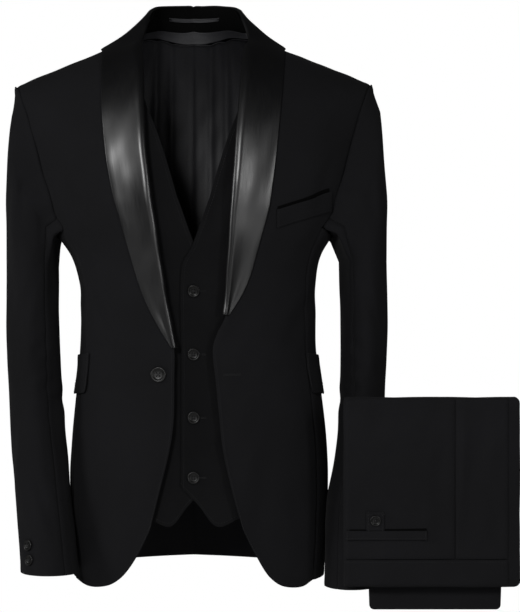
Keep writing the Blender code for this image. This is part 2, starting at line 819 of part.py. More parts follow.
def stand_point(turn, share):
    """On the collar stand, which rises from the neck seam to just under the collar's fold."""
    side = 1 if turn >= 0 else -1
    base = neck_line(turn * STAND_NARROW) + np.array([0, 0, STAND_RAISE])
    last = len(NECK_FALL["fold_x"]) - 1
    keys = np.arange(last + 1, dtype=float)
    at = last - abs(turn) * (last - 1)
    top = np.array([curve(keys, NECK_FALL[name], at) for name in ("fold_x", "fold_y", "fold_z")])
    top[0] *= side + NECK_LEAN
    inward = np.array([-top[0], -top[1], 0])
    top = top + inward / np.linalg.norm(inward) * STAND_INSET - np.array([0, 0, STAND_DROP])
    return base + (top - base) * share


def collar_stand(material):
    turns = np.linspace(1, -1, 21)
    face = np.array([[stand_point(turn, share) for share in (0, 0.33, 0.67, 1)] for turn in turns])
    return wall("collar_stand", face, backed(face, WOOL, (0, 0, 0.03)), material)


def hanger_loop(material):
    """A flat loop of lining sewn at both ends to the inside of the collar stand."""
    rows = []
    for turn in np.linspace(-HANGER_TURN, HANGER_TURN, 9):
        slack = HANGER_SLACK * (1 - (turn / HANGER_TURN) ** 2)
        row = [stand_point(turn, share) for share in HANGER_SHARES]
        rows.append([point - np.array([0, WOOL + 4 * GAP + slack, slack]) for point in row])
    face = np.array(rows)
    return wall("hanger_loop", face, backed(face, LINING, (0, -1, 0.04)), material)


# ---------------------------------------------------------------- pockets and buttons
def chest_welt(material):
    """The slanting welt pocket on the wearer's left chest."""
    face = []
    for i in range(5):
        row = []
        for j in range(9):
            share = j / 8
            out = WELT_OUT + WELT_WIDTH * share
            w = WELT_LOW_W + WELT_SLANT * share + WELT_HEIGHT * i / 4
            row.append(torso(1, q_of(1, out, w), w, WOOL + GAP))
        face.append(row)
    face = np.array(face)
    return wall("chest_welt", face, backed(face, WOOL, (0.10, 0, -0.2)), material)


def hip_flap(side, material):
    """The flap hangs from the pocket mouth, round from the front on to the side panel."""
    face = []
    for i in range(6):
        row = []
        for j in range(11):
            share = j / 10
            corner = max(abs(2 * share - 1) - 1 + FLAP_CORNER_SHARE, 0) / FLAP_CORNER_SHARE
            drop = FLAP_HEIGHT - FLAP_CORNER * corner**2
            q = FLAP_START_Q + (FLAP_END_Q - FLAP_START_Q) * share
            w = FLAP_TOP_W - FLAP_SLANT * share - drop * (1 - i / 5)
            row.append(torso(side, q, w, WOOL + GAP + FLAP_EASE))
        face.append(row)
    face = np.array(face)
    return wall(side_name("hip_flap", side), face, backed(face, WOOL, (0, 0, -0.42)), material)


def button(name, centre, outward, radius, material):
    """A moulded button: a raised rim round a dished middle."""
    outward = outward / np.linalg.norm(outward)
    across = np.cross(outward, [0, 0, 1.0])
    across = across / np.linalg.norm(across)
    up = np.cross(across, outward)
    rings = []
    for share, height in zip(BUTTON_PROFILE["radius"], BUTTON_PROFILE["height"]):
        ring = []
        for k in range(BUTTON_SIDES):
            turn = 2 * math.pi * k / BUTTON_SIDES
            flat = across * math.cos(turn) + up * math.sin(turn)
            ring.append(centre + outward * height - flat * radius * share)
        rings.append(ring)
    return loft(name, rings, material)


def button_on_torso(name, side, out, height, lift, radius, material):
    w = height - CHEST_Z
    q = q_of(side, out, w)
    base = torso(side, q, w, lift)
    outward = torso(side, q, w, lift + 0.01) - base
    outward = outward / np.linalg.norm(outward)
    return button(name, base + outward * 2 * GAP, outward, radius, material)


def cuff_buttons(side, material):
    """Two buttons in a row above each cuff, towards the outside."""
    sizes = RIGHT_SLEEVE if side < 0 else LEFT_SLEEVE
    cuff = float(sizes["height"][-1])
    spot = CUFF_BUTTON_SPOT[side]
    for number, rise in enumerate(CUFF_BUTTON_RISES):
        ring = sleeve_section(side, sizes, cuff + rise, SLEEVE_POINTS)
        above = sleeve_section(side, sizes, cuff + rise + 0.004, SLEEVE_POINTS)
        along = ring[spot + 1] - ring[spot - 1]
        outward = np.cross(along, above[spot] - ring[spot])
        outward = outward * math.copysign(1, np.dot(outward, ring[spot] - ring.mean(axis=0)))
        outward = outward / np.linalg.norm(outward)
        name = side_name("cuff_button", side) + "_" + str(number + 1)
        button(name, ring[spot] + outward * 2 * GAP, outward, CUFF_BUTTON_RADIUS, material)


# ---------------------------------------------------------------- waistcoat
def waistcoat_lift(w):
    """How far the waistcoat lies inside the jacket: the jacket rests on its shoulders."""
    near = max(min((w - WAISTCOAT_SHOULDER_W) / (DOME - WAISTCOAT_SHOULDER_W), 1), 0)
    return WAISTCOAT_LIFT + (WAISTCOAT_SHOULDER_LIFT - WAISTCOAT_LIFT) * near


def waistcoat_setback(q, w):
    """How much deeper a waistcoat front lies, most at the centre and none at the side seam."""
    start, end = WAISTCOAT_SETBACK_W
    across = math.cos(math.pi / 2 * min(abs(q) / WAISTCOAT_SETBACK_Q, 1)) ** 2
    up = math.cos(math.pi / 2 * min(max((w - start) / (end - start), 0), 1)) ** 2
    return WAISTCOAT_SETBACK * across * up


def waistcoat_panel(name, side, grid, thickness, material, seams, raised=None):
    """A waistcoat wall on the body's form, at the waistcoat's own depth inside the jacket."""
    walls = []
    for depth in (0.0, thickness):
        points = []
        for i, row in enumerate(grid):
            lifts = [waistcoat_lift(w) - depth for _, w in row]
            if raised is not None:
                lifts = [lift + raised(q, w) for lift, (q, w) in zip(lifts, row)]
            points.append([torso(side, q, w, lift) for lift, (q, w) in zip(lifts, row)])
        walls.append(pull_edges(np.array(points), *seams))
    return wall(side_name(name, side), walls[0], walls[1], material)


def waistcoat_front(side, material):
    """The wearer's left front laps over the other down the centre."""
    low = WAISTCOAT_HEM["height"][0] - CHEST_Z
    side_low = WAISTCOAT_SIDE_HEM - CHEST_Z
    under_w = float(WAISTCOAT_ARMHOLE["w"][0])

    def inner(v):
        w = low + (DOME - low) * v
        return q_of(side, curve(WAISTCOAT_EDGE["w"], WAISTCOAT_EDGE["out"], w), w), w

    def outer(v):
        w = side_low + (DOME - side_low) * v
        if w < under_w + TINY:
            return 1.0, w
        return curve(WAISTCOAT_ARMHOLE["w"], WAISTCOAT_ARMHOLE["front"], w), w

    def bottom(u):
        w = curve(WAISTCOAT_HEM["run"], WAISTCOAT_HEM["height"], u) - CHEST_Z
        if u == 1:
            return 1.0, side_low
        return q_of(side, curve(WAISTCOAT_HEM["run"], WAISTCOAT_HEM["out"], u), w), w

    def top(u):
        start = inner(1)[0]
        end = outer(1)[0]
        return start + (end - start) * u, DOME

    def raised(q, w):
        near = max(1 - max(q, 0) / WAISTCOAT_LAP_WIDTH, 0) * max(min(-w / WAISTCOAT_LAP_FADE, 1), 0)
        overlap = WAISTCOAT_OVERLAP * min(near * WAISTCOAT_LAP_FLAT, 1) if side > 0 else 0.0
        return overlap - waistcoat_setback(q, w)

    up = runs((under_w - side_low) / (DOME - side_low), 9, 8)
    grid = patch(inner, outer, bottom, top, up, 8)
    seams = (0, SEAM, 0, SEAM)
    return waistcoat_panel("waistcoat_front", side, grid, WOOL, material, seams, raised)


def lining_ripple(side, q, w):
    """Upright folds in the waistcoat's back lining, strongest under the neck."""
    if q < LINING_FOLDS_START_Q:
        return 0.0
    x = torso(side, q, w)[0]
    rise = 0.0
    for across, deep, wide in zip(*(LINING_FOLDS[name] for name in ("across", "deep", "wide"))):
        rise -= deep * math.exp(-(((x - across) / wide) ** 2))
    return rise * max(min((w - LINING_FOLDS_LOW_W) / LINING_FOLDS_FADE, 1), 0)


def waistcoat_neck_w(share):
    """The waistcoat's back neck, from a neck point (0) down to the centre back (1)."""
    fall = (DOME - WAISTCOAT_NECK_LOW_W) * math.sin(share * math.pi / 2) ** NECK_CURVE
    return DOME - fall


def waistcoat_back(side, material):
    low = WAISTCOAT_BACK_HEM - CHEST_Z
    side_low = WAISTCOAT_SIDE_HEM - CHEST_Z
    under_w = float(WAISTCOAT_ARMHOLE["w"][0])

    def outer(v):
        w = side_low + (DOME - side_low) * v
        if w < under_w + TINY:
            return 1.0, w
        return curve(WAISTCOAT_ARMHOLE["w"], WAISTCOAT_ARMHOLE["back"], w), w

    def centre(v):
        return 2.0, low + (WAISTCOAT_NECK_LOW_W - low) * v

    def bottom(u):
        return 1 + u, side_low + (low - side_low) * u

    def top(u):
        start, end = outer(1)[0], q_of(side, WAISTCOAT_NECK_HALF, DOME, True)
        if u < 0.5:
            return start + (end - start) * u / 0.5, DOME
        inside = (u - 0.5) / 0.5
        w = waistcoat_neck_w(inside)
        return q_of(side, WAISTCOAT_NECK_HALF * (1 - inside), w, True), w

    up = runs((under_w - side_low) / (DOME - side_low), 9, 7)
    grid = patch(outer, centre, bottom, top, up, 12)

    def ripple(q, w):
        return lining_ripple(side, q, w)

    seams = (0, SEAM, SEAM, SEAM)
    return waistcoat_panel("waistcoat_back", side, grid, LINING, material, seams, ripple)


def waistcoat_neckband(material):
    """A narrow band that stands on the back neck, inside the jacket's collar."""
    rows = []
    for turn in np.linspace(1, -1, 17):
        out = WAISTCOAT_NECK_HALF * abs(turn) * STAND_NARROW
        w = waistcoat_neck_w(1 - abs(turn))
        side = 1 if turn >= 0 else -1
        base = torso(side, q_of(side, out, w, True), w, waistcoat_lift(w))
        base = base + np.array([0, 0, GAP])
        rise = np.interp(abs(turn), (0, 1), WAISTCOAT_BAND_RISE)
        lean = np.array([-base[0], -base[1], 0]) / np.linalg.norm(base[:2]) * WAISTCOAT_BAND_LEAN
        rows.append([base + (lean + np.array([0, 0, rise])) * share for share in (0, 0.5, 1)])
    face = np.array(rows)
    return wall("waistcoat_neckband", face, backed(face, WOOL, (0, 0, 0.02)), material)


# ---------------------------------------------------------------- folded trousers
def rounded_outline(left, width, top, height, corner, inset, count):
    """Points round a soft-cornered rectangle, drawn in by the inset."""
    points = []
    radius = max(corner - inset, 0.002)
    centres = (
        (left + width - corner, top - corner),
        (left + corner, top - corner),
        (left + corner, top - height + corner),
        (left + width - corner, top - height + corner),
    )
    for index, (x, z) in enumerate(centres):
        for k in range(count):
            turn = math.pi / 2 * (index + k / (count - 1))
            points.append((x + radius * math.cos(turn), z + radius * math.sin(turn)))
    return points


def folded_legs(front_y, material):
    """The hidden layers: one body with a rounded edge for each fold."""
    rings = []
    for layer in range(TROUSERS_LAYERS):
        slack = LAYER_SLACK * (layer % 2)
        left, width = TROUSERS_LEFT + slack, TROUSERS_WIDTH - 2 * slack
        top, height = TROUSERS_TOP - slack, TROUSERS_HEIGHT - slack
        for share, inset in zip(LAYER_SECTION["share"], LAYER_SECTION["inset"]):
            y = front_y + LAYER_THICK * (layer + share)
            outline = rounded_outline(left, width, top, height, LAYER_CORNER, inset, 5)
            rings.append([[x, y, z] for x, z in outline])
    return loft("trousers_folded_legs", rings[::-1], material)


def lower_legs(front_y, material):
    """The leg ends: the last layer, whose hems show under the waistband."""
    length = TROUSERS_HEIGHT + LEG_HEM_DROP - LEG_TUCK
    bottom = TROUSERS_TOP - TROUSERS_HEIGHT - LEG_HEM_DROP
    middle = LEG_HEM_LEFT + LEG_HEM_WIDTH / 2
    rings = []
    for share, inset in zip(LEG_SECTION["share"], LEG_SECTION["inset"]):
        ring = []
        for x, z in rounded_outline(
            LEG_HEM_LEFT, LEG_HEM_WIDTH, bottom + length, length, LEG_CORNER, inset, 4
        ):
            spread = 1 + LEG_SPREAD * (z - bottom) / length
            ring.append([middle + (x - middle) * spread, front_y + LEG_THICK * share, z])
        rings.append(ring)
    return loft("trousers_lower_legs", rings[::-1], material)


def trouser_strip(name, edges, front_y, thickness, material, size, crown=0.0):
    """A flat piece on the folded trousers, crowned a little across.

    Its edges are (left, right, top, bottom) and its size is (columns, rows).
    """
    left, right, top, bottom = edges
    columns, rows = size
    face = []
    for i in range(rows + 1):
        row = []
        for j in range(columns + 1):
            share = j / columns
            x = left + (right - left) * share
            z = bottom + (top - bottom) * i / rows
            row.append([x, front_y - crown * math.sin(math.pi * share), z])
        face.append(row)
    face = np.array(face)
    return wall(name, face, face + np.array([0, thickness, 0]), material)


def trousers(back_y, wool, button_finish):
    """The trousers folded in four, waist down, with the seat side in front."""
    block_y = back_y - LAYER_THICK * TROUSERS_LAYERS
    lower_legs(back_y + GAP, wool)
    folded_legs(block_y, wool)
    bottom = TROUSERS_TOP - TROUSERS_HEIGHT
    panel_y = block_y - GAP - WOOL
    left, top = TROUSERS_LEFT + PANEL_INSET, TROUSERS_TOP - PANEL_INSET
    seam_x, end_x = TROUSERS_LEFT + TROUSER_SEAM, TROUSERS_LEFT + TROUSER_FRONT_END
    band_top = bottom + WAISTBAND_HEIGHT
    near_edges = (left, seam_x - SEAM / 2, top, band_top + SEAM)
    far_edges = (seam_x + SEAM / 2, end_x, top, band_top + SEAM)
    band_edges = (left, end_x, band_top - SEAM, bottom + WAISTBAND_INSET)
    band_y = panel_y - (WAISTBAND_THICK - WOOL) - WAISTBAND_PROUD
    trouser_strip("trousers_back_left", near_edges, panel_y, WOOL, wool, (10, 12), SEAT_CROWN)
    trouser_strip("trousers_back_right", far_edges, panel_y, WOOL, wool, (6, 12), SEAT_CROWN * 2 / 3)
    trouser_strip("trousers_waistband", band_edges, band_y, WAISTBAND_THICK, wool, (12, 3), SEAT_CROWN)
    over_y = panel_y - SEAT_CROWN - GAP - WOOL
    welt_x, tab_x = TROUSERS_LEFT + POCKET_LEFT, TROUSERS_LEFT + TAB_LEFT
    welt_edges = (welt_x, welt_x + POCKET_WIDTH, POCKET_MOUTH, POCKET_MOUTH - POCKET_WELT)
    tab_edges = (tab_x, tab_x + TAB_WIDTH, POCKET_MOUTH + TAB_HEIGHT, POCKET_MOUTH + TAB_CLEAR)
    trouser_strip("trousers_pocket_welt", welt_edges, over_y, WOOL, wool, (8, 2))
    trouser_strip("trousers_pocket_tab", tab_edges, over_y, WOOL, wool, (4, 3))
    spot = np.array([tab_x + TAB_WIDTH / 2, over_y - 2 * GAP, POCKET_MOUTH + TAB_BUTTON_RISE])
    button("trousers_button", spot, np.array([0, -1.0, 0]), CUFF_BUTTON_RADIUS, button_finish)


# ---------------------------------------------------------------- the suit
def side_name(name, side):
    """Left and right are the wearer's."""
    return name + ("_right" if side < 0 else "_left")


def clear_scene():
    for old in list(bpy.data.objects):
        bpy.data.objects.remove(old, do_unlink=True)


def build_suit():
    clear_scene()
    wool = finish("worsted_wool", "1c1c1d", 0.85)
    satin = finish("satin_facing", "242425", 0.35)
    lining = finish("twill_lining", "161617", 0.60)
    horn = finish("polished_button", "0e0e0f", 0.30)
    for side in (-1, 1):
        jacket_front(side, wool)
        jacket_side(side, wool)
        jacket_back(side, wool)
        sleeve(side, wool)
        cuff_buttons(side, horn)
        shawl(side, satin)
        hip_flap(side, wool)
        waistcoat_front(side, wool)
        waistcoat_back(side, lining)
    collar_stand(wool)
    hanger_loop(lining)
    chest_welt(wool)
    waistcoat_neckband(wool)
    out, height = JACKET_BUTTON
    button_on_torso("front_button", -1, out, height, 0.0, BUTTON_RADIUS, horn)
    for number, height in enumerate(WAISTCOAT_BUTTON_HEIGHTS):
        lift = WAISTCOAT_LIFT + WAISTCOAT_OVERLAP - WAISTCOAT_SETBACK
        name = "waistcoat_button_" + str(number + 1)
        button_on_torso(name, 1, 0.0, height, lift, SMALL_BUTTON_RADIUS, horn)
    lowest = TROUSERS_TOP - TROUSERS_HEIGHT + float(LAYER_SECTION["inset"][0])
    sleeve_front = sleeve_section(1, LEFT_SLEEVE, lowest, SLEEVE_POINTS)[:, 1].min()
    trousers(float(sleeve_front) - GAP, wool, horn)


build_suit()
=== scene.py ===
# %% [markdown]
# A dinner suit in three pieces: a shawl-collar jacket worn open, the waistcoat under it and
# the folded trousers beside them. Black cloth shows its shape by its edges, its seams and the
# sheen of its satin, so this lesson spends its effort there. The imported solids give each
# panel's place and size. Every panel is made again here as a thin shell of cloth on the same
# form, with a finer surface, rounded edges, seams and creases.

# %% Load the frame
import json
import math
import bmesh
import bpy
import numpy as np
from mathutils import Matrix, Vector

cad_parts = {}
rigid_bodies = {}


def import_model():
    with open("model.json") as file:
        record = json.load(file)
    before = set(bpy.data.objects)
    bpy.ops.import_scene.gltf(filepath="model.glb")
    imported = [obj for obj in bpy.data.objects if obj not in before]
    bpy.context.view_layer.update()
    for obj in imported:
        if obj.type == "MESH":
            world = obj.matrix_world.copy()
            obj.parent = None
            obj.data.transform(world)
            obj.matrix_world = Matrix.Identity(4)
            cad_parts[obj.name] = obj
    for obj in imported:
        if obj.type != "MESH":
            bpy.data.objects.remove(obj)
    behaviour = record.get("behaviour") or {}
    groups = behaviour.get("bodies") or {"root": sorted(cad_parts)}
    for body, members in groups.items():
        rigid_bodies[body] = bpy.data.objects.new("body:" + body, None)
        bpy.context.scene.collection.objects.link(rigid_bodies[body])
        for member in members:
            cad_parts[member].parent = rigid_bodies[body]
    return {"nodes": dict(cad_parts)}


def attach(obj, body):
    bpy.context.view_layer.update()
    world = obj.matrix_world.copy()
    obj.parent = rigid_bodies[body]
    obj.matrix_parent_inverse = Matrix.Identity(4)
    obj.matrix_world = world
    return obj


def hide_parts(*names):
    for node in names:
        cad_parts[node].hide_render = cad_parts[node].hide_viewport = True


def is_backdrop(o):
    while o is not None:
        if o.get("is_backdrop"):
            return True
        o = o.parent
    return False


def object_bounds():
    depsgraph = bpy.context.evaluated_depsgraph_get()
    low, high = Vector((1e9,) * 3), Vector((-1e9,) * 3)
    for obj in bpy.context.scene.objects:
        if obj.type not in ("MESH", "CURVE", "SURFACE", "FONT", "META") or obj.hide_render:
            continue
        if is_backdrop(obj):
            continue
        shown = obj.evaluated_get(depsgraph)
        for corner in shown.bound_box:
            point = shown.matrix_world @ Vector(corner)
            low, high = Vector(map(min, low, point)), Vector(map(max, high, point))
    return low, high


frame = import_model()
CAD_LOW, CAD_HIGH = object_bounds()
print("packed nodes:", len(frame["nodes"]))

# %% [markdown]
# The photograph looks straight at the suit from some way off, so a long lens is used from
# three metres, level with the middle of the jacket. The trousers lie to one side, and a small
# lens shift frames them without turning the camera.

# %% Camera
CAMERA_AWAY = 3.0
CAMERA_HEIGHT = -0.3354
METRES_A_PIXEL = 0.0013
PHOTO_WIDTH, PHOTO_HEIGHT = 520, 612
CENTRE_PIXEL = 193.5
SENSOR = 36.0


def in_scene(name, data):
    """Makes an object of some data and links it into the scene."""
    made = bpy.data.objects.new(name, data)
    bpy.context.scene.collection.objects.link(made)
    return made


camera_data = bpy.data.cameras.new("camera")
camera_data.sensor_width = SENSOR
camera_data.lens = SENSOR * CAMERA_AWAY / (METRES_A_PIXEL * PHOTO_HEIGHT)
camera_data.shift_x = (PHOTO_WIDTH / 2 - CENTRE_PIXEL) / PHOTO_HEIGHT
camera = in_scene("camera", camera_data)
camera.location = (0, -CAMERA_AWAY, CAMERA_HEIGHT)
camera.rotation_euler = (math.pi / 2, 0, 0)
bpy.context.scene.camera = camera
print("lens:", round(camera_data.lens, 1), "mm")

# %% [markdown]
# Colours are picked as sRGB hex values, as a colour picker shows them, and Blender's shaders
# want linear light, so one function turns one into the other. One more function adds a node
# with its settings and links. It serves materials and Geometry Nodes alike, so that a finish
# below reads as the list of what it is made of.


# %% Colour and node helpers
def linear(hex_colour):
    """An sRGB hex colour as linear RGBA."""
    parts = [int(hex_colour[i : i + 2], 16) / 255 for i in (0, 2, 4)]
    parts = [c / 12.92 if c <= 0.04045 else ((c + 0.055) / 1.055) ** 2.4 for c in parts]
    return (*parts, 1.0)


def node(tree, kind, inputs=None, **settings):
    """Adds one node, with its settings, and fills or links its inputs by name or number."""
    made = tree.nodes.new(kind)
    for name, value in settings.items():
        setattr(made, name, value)
    for name, value in (inputs or {}).items():
        if isinstance(value, bpy.types.NodeSocket):
            tree.links.new(value, made.inputs[name])
        else:
            made.inputs[name].default_value = value
    return made


def new_material(name, **settings):
    """A material with a Principled shader, its unchanging values set on its own sockets."""
    material = bpy.data.materials.new(name)
    material.use_nodes = True
    shader = material.node_tree.nodes["Principled BSDF"]
    for socket, value in settings.items():
        shader.inputs[socket.replace("_", " ")].default_value = value
    return material, material.node_tree, shader


def two_tone(tree, shader, share, dark, light, stops=(0.0, 1.0)):
    """Lets the base colour run from a dark tone to a light one as a share rises."""
    ramp = node(tree, "ShaderNodeValToRGB", {"Fac": share})
    for stop, (place, tone) in enumerate(zip(stops, (dark, light))):
        ramp.color_ramp.elements[stop].position = place
        ramp.color_ramp.elements[stop].color = linear(tone)
    tree.links.new(ramp.outputs["Color"], shader.inputs["Base Color"])


def grained(name, dark, light, scale, detail=2.0, stops=(0.0, 1.0), place="Object", **settings):
    """A plain material whose tone wanders with a fine noise."""
    material, tree, shader = new_material(name, **settings)
    spot = node(tree, "ShaderNodeTexCoord").outputs[place]
    grain = node(tree, "ShaderNodeTexNoise", {"Vector": spot, "Scale": scale, "Detail": detail})
    two_tone(tree, shader, grain.outputs["Fac"], dark, light, stops)
    return material


print("black cloth's tone in linear light:", round(linear("141415")[0], 4))

# %% [markdown]
# Black cloth shows its form by soft light from the front, and satin needs something bright to
# mirror. The front key stands a little to the left, so the left side of the open neck lies in
# shadow. Two small boxes are there for the satin: a weak one on the left and a stronger, taller
# one on the right. A large box far out at the left side and a low fill keep the edges and the
# hems readable. A pale floor lies where a wearer would stand.

# %% Light and floor
SOFT_BOXES = (
    # name, place, aim, width, height, watts
    ("left_box", (-1.30, -1.7, 0.72), (0.0, 0.0, -0.15), 0.40, 0.60, 2.5),
    ("right_box", (1.50, -2.2, 0.14), (0.0, 0.0, -0.25), 0.30, 0.90, 13.0),
    ("side_box", (-3.00, -0.8, 0.40), (0.0, 0.0, -0.30), 0.80, 0.80, 30.0),
    ("front_key", (-1.05, -3.95, 1.05), (0.0, 0.0, -0.35), 0.70, 0.70, 83.0),
    ("low_fill", (1.20, -3.6, -0.70), (0.1, 0.0, -0.60), 1.00, 1.00, 6.0),
)
FLOOR_HEIGHT = -1.45
FLOOR_SIZE = 7.0
GLOW = 0.03

for name, place, aim, width, height, watts in SOFT_BOXES:
    light = bpy.data.lights.new(name, "AREA")
    light.shape = "RECTANGLE"
    light.size, light.size_y = width, height
    light.energy = watts
    lamp = in_scene(name, light)
    lamp.location = place
    lamp.rotation_euler = (Vector(aim) - Vector(place)).to_track_quat("-Z", "Y").to_euler()

world = bpy.data.worlds.new("studio")
bpy.context.scene.world = world
world.use_nodes = True
sky = world.node_tree
sky.nodes.clear()
glow = node(sky, "ShaderNodeBackground", {"Strength": GLOW})
white = node(sky, "ShaderNodeBackground", {"Color": (1, 1, 1, 1)})
seen = node(sky, "ShaderNodeLightPath").outputs["Is Camera Ray"]
mixed = node(sky, "ShaderNodeMixShader", {"Fac": seen, 1: glow.outputs[0], 2: white.outputs[0]})
node(sky, "ShaderNodeOutputWorld", {"Surface": mixed.outputs[0]})
bpy.context.scene.view_settings.view_transform = "Standard"

bpy.ops.mesh.primitive_grid_add(x_subdivisions=2, y_subdivisions=2, size=FLOOR_SIZE)
floor = bpy.context.object
floor.name = "studio_floor"
floor.data.transform(Matrix.Translation((0, 0, FLOOR_HEIGHT)))
floor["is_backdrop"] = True
print("soft boxes:", len(SOFT_BOXES))

# %% [markdown]
# Worsted wool is spun from long combed fibres and woven in a fine twill. It is matt, it keeps
# a faint diagonal rib, and its dye is never quite even over a whole panel. The ribs here run
# over the panel's own UV map, which is laid in metres along the cloth, so the weave turns with
# each cut piece. A real rib is about 0.4 mm. It is drawn three times as coarse, so that it
# shows from close by.

# %% Worsted wool
TWILL_RIB_MM = 1.2
TWILL_ANGLE = math.radians(63)
WEAVE_HEIGHT = 0.00012
WAVES_A_RIB, WAVES_A_CROSS_THREAD = 10, 7
SLUB_SCALE = 420.0
DYE_STOPS = (0.08, 0.46)
BUMP_STRENGTH = 0.5


def woven(name, dark, light, rib_mm, angle, mottle_mm, height, **settings):
    """A twill cloth: diagonal ribs, a cross thread and an uneven dye."""
    material, tree, shader = new_material(name, **settings)
    uv = node(tree, "ShaderNodeUVMap", uv_map="cloth").outputs["UV"]
    waves = math.pi * 1000 / rib_mm
    turned = node(tree, "ShaderNodeMapping", {"Vector": uv, "Rotation": (0, 0, angle)})
    ribs = node(
        tree, "ShaderNodeTexWave",
        {"Vector": turned.outputs[0], "Scale": waves / WAVES_A_RIB, "Distortion": 0.6,
         "Detail": 1.0, "Detail Scale": 60.0},
    )
    threads = node(
        tree, "ShaderNodeTexWave",
        {"Vector": uv, "Scale": waves / WAVES_A_CROSS_THREAD, "Distortion": 0.4},
    )
    both = node(
        tree, "ShaderNodeMath",
        {0: ribs.outputs["Fac"], 1: threads.outputs["Fac"]}, operation="ADD",
    )
    place = node(tree, "ShaderNodeTexCoord").outputs["Object"]
    mottle = node(
        tree, "ShaderNodeTexNoise", {"Vector": place, "Scale": 1000 / mottle_mm, "Detail": 3.0},
    )
    slub = node(tree, "ShaderNodeTexNoise", {"Vector": uv, "Scale": SLUB_SCALE, "Detail": 2.0})
    shade = node(
        tree, "ShaderNodeMath",
        {0: mottle.outputs["Fac"], 1: slub.outputs["Fac"]}, operation="MULTIPLY",
    )
    two_tone(tree, shader, shade.outputs[0], dark, light, DYE_STOPS)
    bump = node(
        tree, "ShaderNodeBump",
        {"Height": both.outputs[0], "Distance": height, "Strength": BUMP_STRENGTH},
    )
    tree.links.new(bump.outputs["Normal"], shader.inputs["Normal"])
    return material


worsted_wool = woven(
    "worsted_wool", "141415", "19191b", TWILL_RIB_MM, TWILL_ANGLE, 90.0, WEAVE_HEIGHT,
    Roughness=0.90, Specular_IOR_Level=0.06, Sheen_Weight=0.015, Sheen_Roughness=0.45,
)
# The stand's tone is set nearly black, far darker than the jacket's wool.
collar_melton = woven(
    "undercollar_melton", "050505", "080808", 0.9, math.radians(20), 50.0, 0.00005,
    Roughness=0.95, Specular_IOR_Level=0.04,
)
# Painted shade: the waistcoat's wool is a darker copy of the jacket's, for the jacket's shadow on
# it.
waistcoat_wool_painted_shade = woven(
    "worsted_wool_painted_shade", "0f0f10", "141415", TWILL_RIB_MM, TWILL_ANGLE, 70.0, WEAVE_HEIGHT,
    Roughness=0.88, Specular_IOR_Level=0.06, Sheen_Weight=0.01, Sheen_Roughness=0.45,
)
print("materials:", worsted_wool.name, waistcoat_wool_painted_shade.name)

# %% [markdown]
# The lapels are faced with satin. Its long floats of yarn lie side by side and hide the cross
# threads, so it mirrors a soft light in broad streaks along the cloth. A very fine rib and a
# smooth, low roughness give that. The twill lining of the waistcoat's back is duller, and
# its colour is nearly the wool's.

# %% Satin and lining
SATIN_STREAKS = (1500.0, 40.0, 1.0)
SATIN_ROUGH = (0.29, 0.37)
SATIN_HEIGHT = 0.00006

satin_facing, satin_tree, satin_shader = new_material(
    "satin_facing", Roughness=0.32, Specular_IOR_Level=0.60, Coat_Weight=0.0, IOR=1.5,
)
satin_uv = node(satin_tree, "ShaderNodeUVMap", uv_map="cloth").outputs["UV"]
satin_streak = node(
    satin_tree, "ShaderNodeMapping", {"Vector": satin_uv, "Scale": SATIN_STREAKS},
)
satin_grain = node(
    satin_tree, "ShaderNodeTexNoise",
    {"Vector": satin_streak.outputs[0], "Scale": 1.0, "Detail": 3.0},
)
two_tone(satin_tree, satin_shader, satin_grain.outputs["Fac"], "060607", "0c0c0d")
satin_rough = node(
    satin_tree, "ShaderNodeMapRange",
    {"Value": satin_grain.outputs["Fac"], "From Min": 0.3, "From Max": 0.7,
     "To Min": SATIN_ROUGH[0], "To Max": SATIN_ROUGH[1]},
)
satin_bump = node(
    satin_tree, "ShaderNodeBump",
    {"Height": satin_grain.outputs["Fac"], "Distance": SATIN_HEIGHT, "Strength": BUMP_STRENGTH},
)
satin_tree.links.new(satin_rough.outputs["Result"], satin_shader.inputs["Roughness"])
satin_tree.links.new(satin_bump.outputs["Normal"], satin_shader.inputs["Normal"])

twill_lining = woven(
    "twill_lining", "1b1b1d", "29292c", 0.9, math.radians(45), 60.0, 0.00006,
    Roughness=0.48, Specular_IOR_Level=0.30,
)
print("materials:", satin_facing.name, twill_lining.name)

# %% [markdown]
# Buttons on such a suit are polished resin made to look like horn: nearly black, with a faint
# brown cloud and a clear gloss. The thread is waxed polyester, a little lighter and shinier
# than the cloth it lies on, which is what makes a row of stitches readable.

# %% Resin, thread and floor
polished_button = grained(
    "horn_look_resin", "050505", "0f0e0d", 190.0, 4.0, (0.40, 0.75),
    Roughness=0.38, Specular_IOR_Level=0.20, Coat_Weight=0.05, Coat_Roughness=0.14,
)
thread = grained(
    "polyester_thread", "101011", "1a1a1c", 2500.0, Roughness=0.45, Specular_IOR_Level=0.35,
)
pale_floor = grained("pale_floor", "f2f2f2", "f7f7f7", 4.0, place="Generated", Roughness=0.9)
floor.data.materials.append(pale_floor)
print("materials:", polished_button.name, thread.name, pale_floor.name)

# %% [markdown]
# The suit's body is one smooth form, read from short tables of real sizes, the same as in the
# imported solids. On it q runs round from the centre front (0) by the side (1) to the centre
# back (2), and w runs up: below the chest it is a height, above it it follows the curve to
# the shoulder seam. Each cut panel is a patch of this form. The walls, gaps and tolerances that
# all the pieces share stand first.


# %% The body's tables
def table(columns, *rows):
    """A short table with named columns, as one array for each column."""
    names = columns.split()
    return {name: np.array([row[i] for row in rows], float) for i, name in enumerate(names)}


WOOL = 0.0016
LINING = 0.0011
SATIN = 0.0016
GAP = 0.0003
SEAM = 0.0004
TINY = 0.0001

CHEST_Z = -0.200
DOME = 0.220
ROUNDNESS = 2.5
WIDE_TO_DEEP = 1.45
BACK_DOME = 0.75
PROBE = 0.004
SHOULDER_SPREAD = 0.068

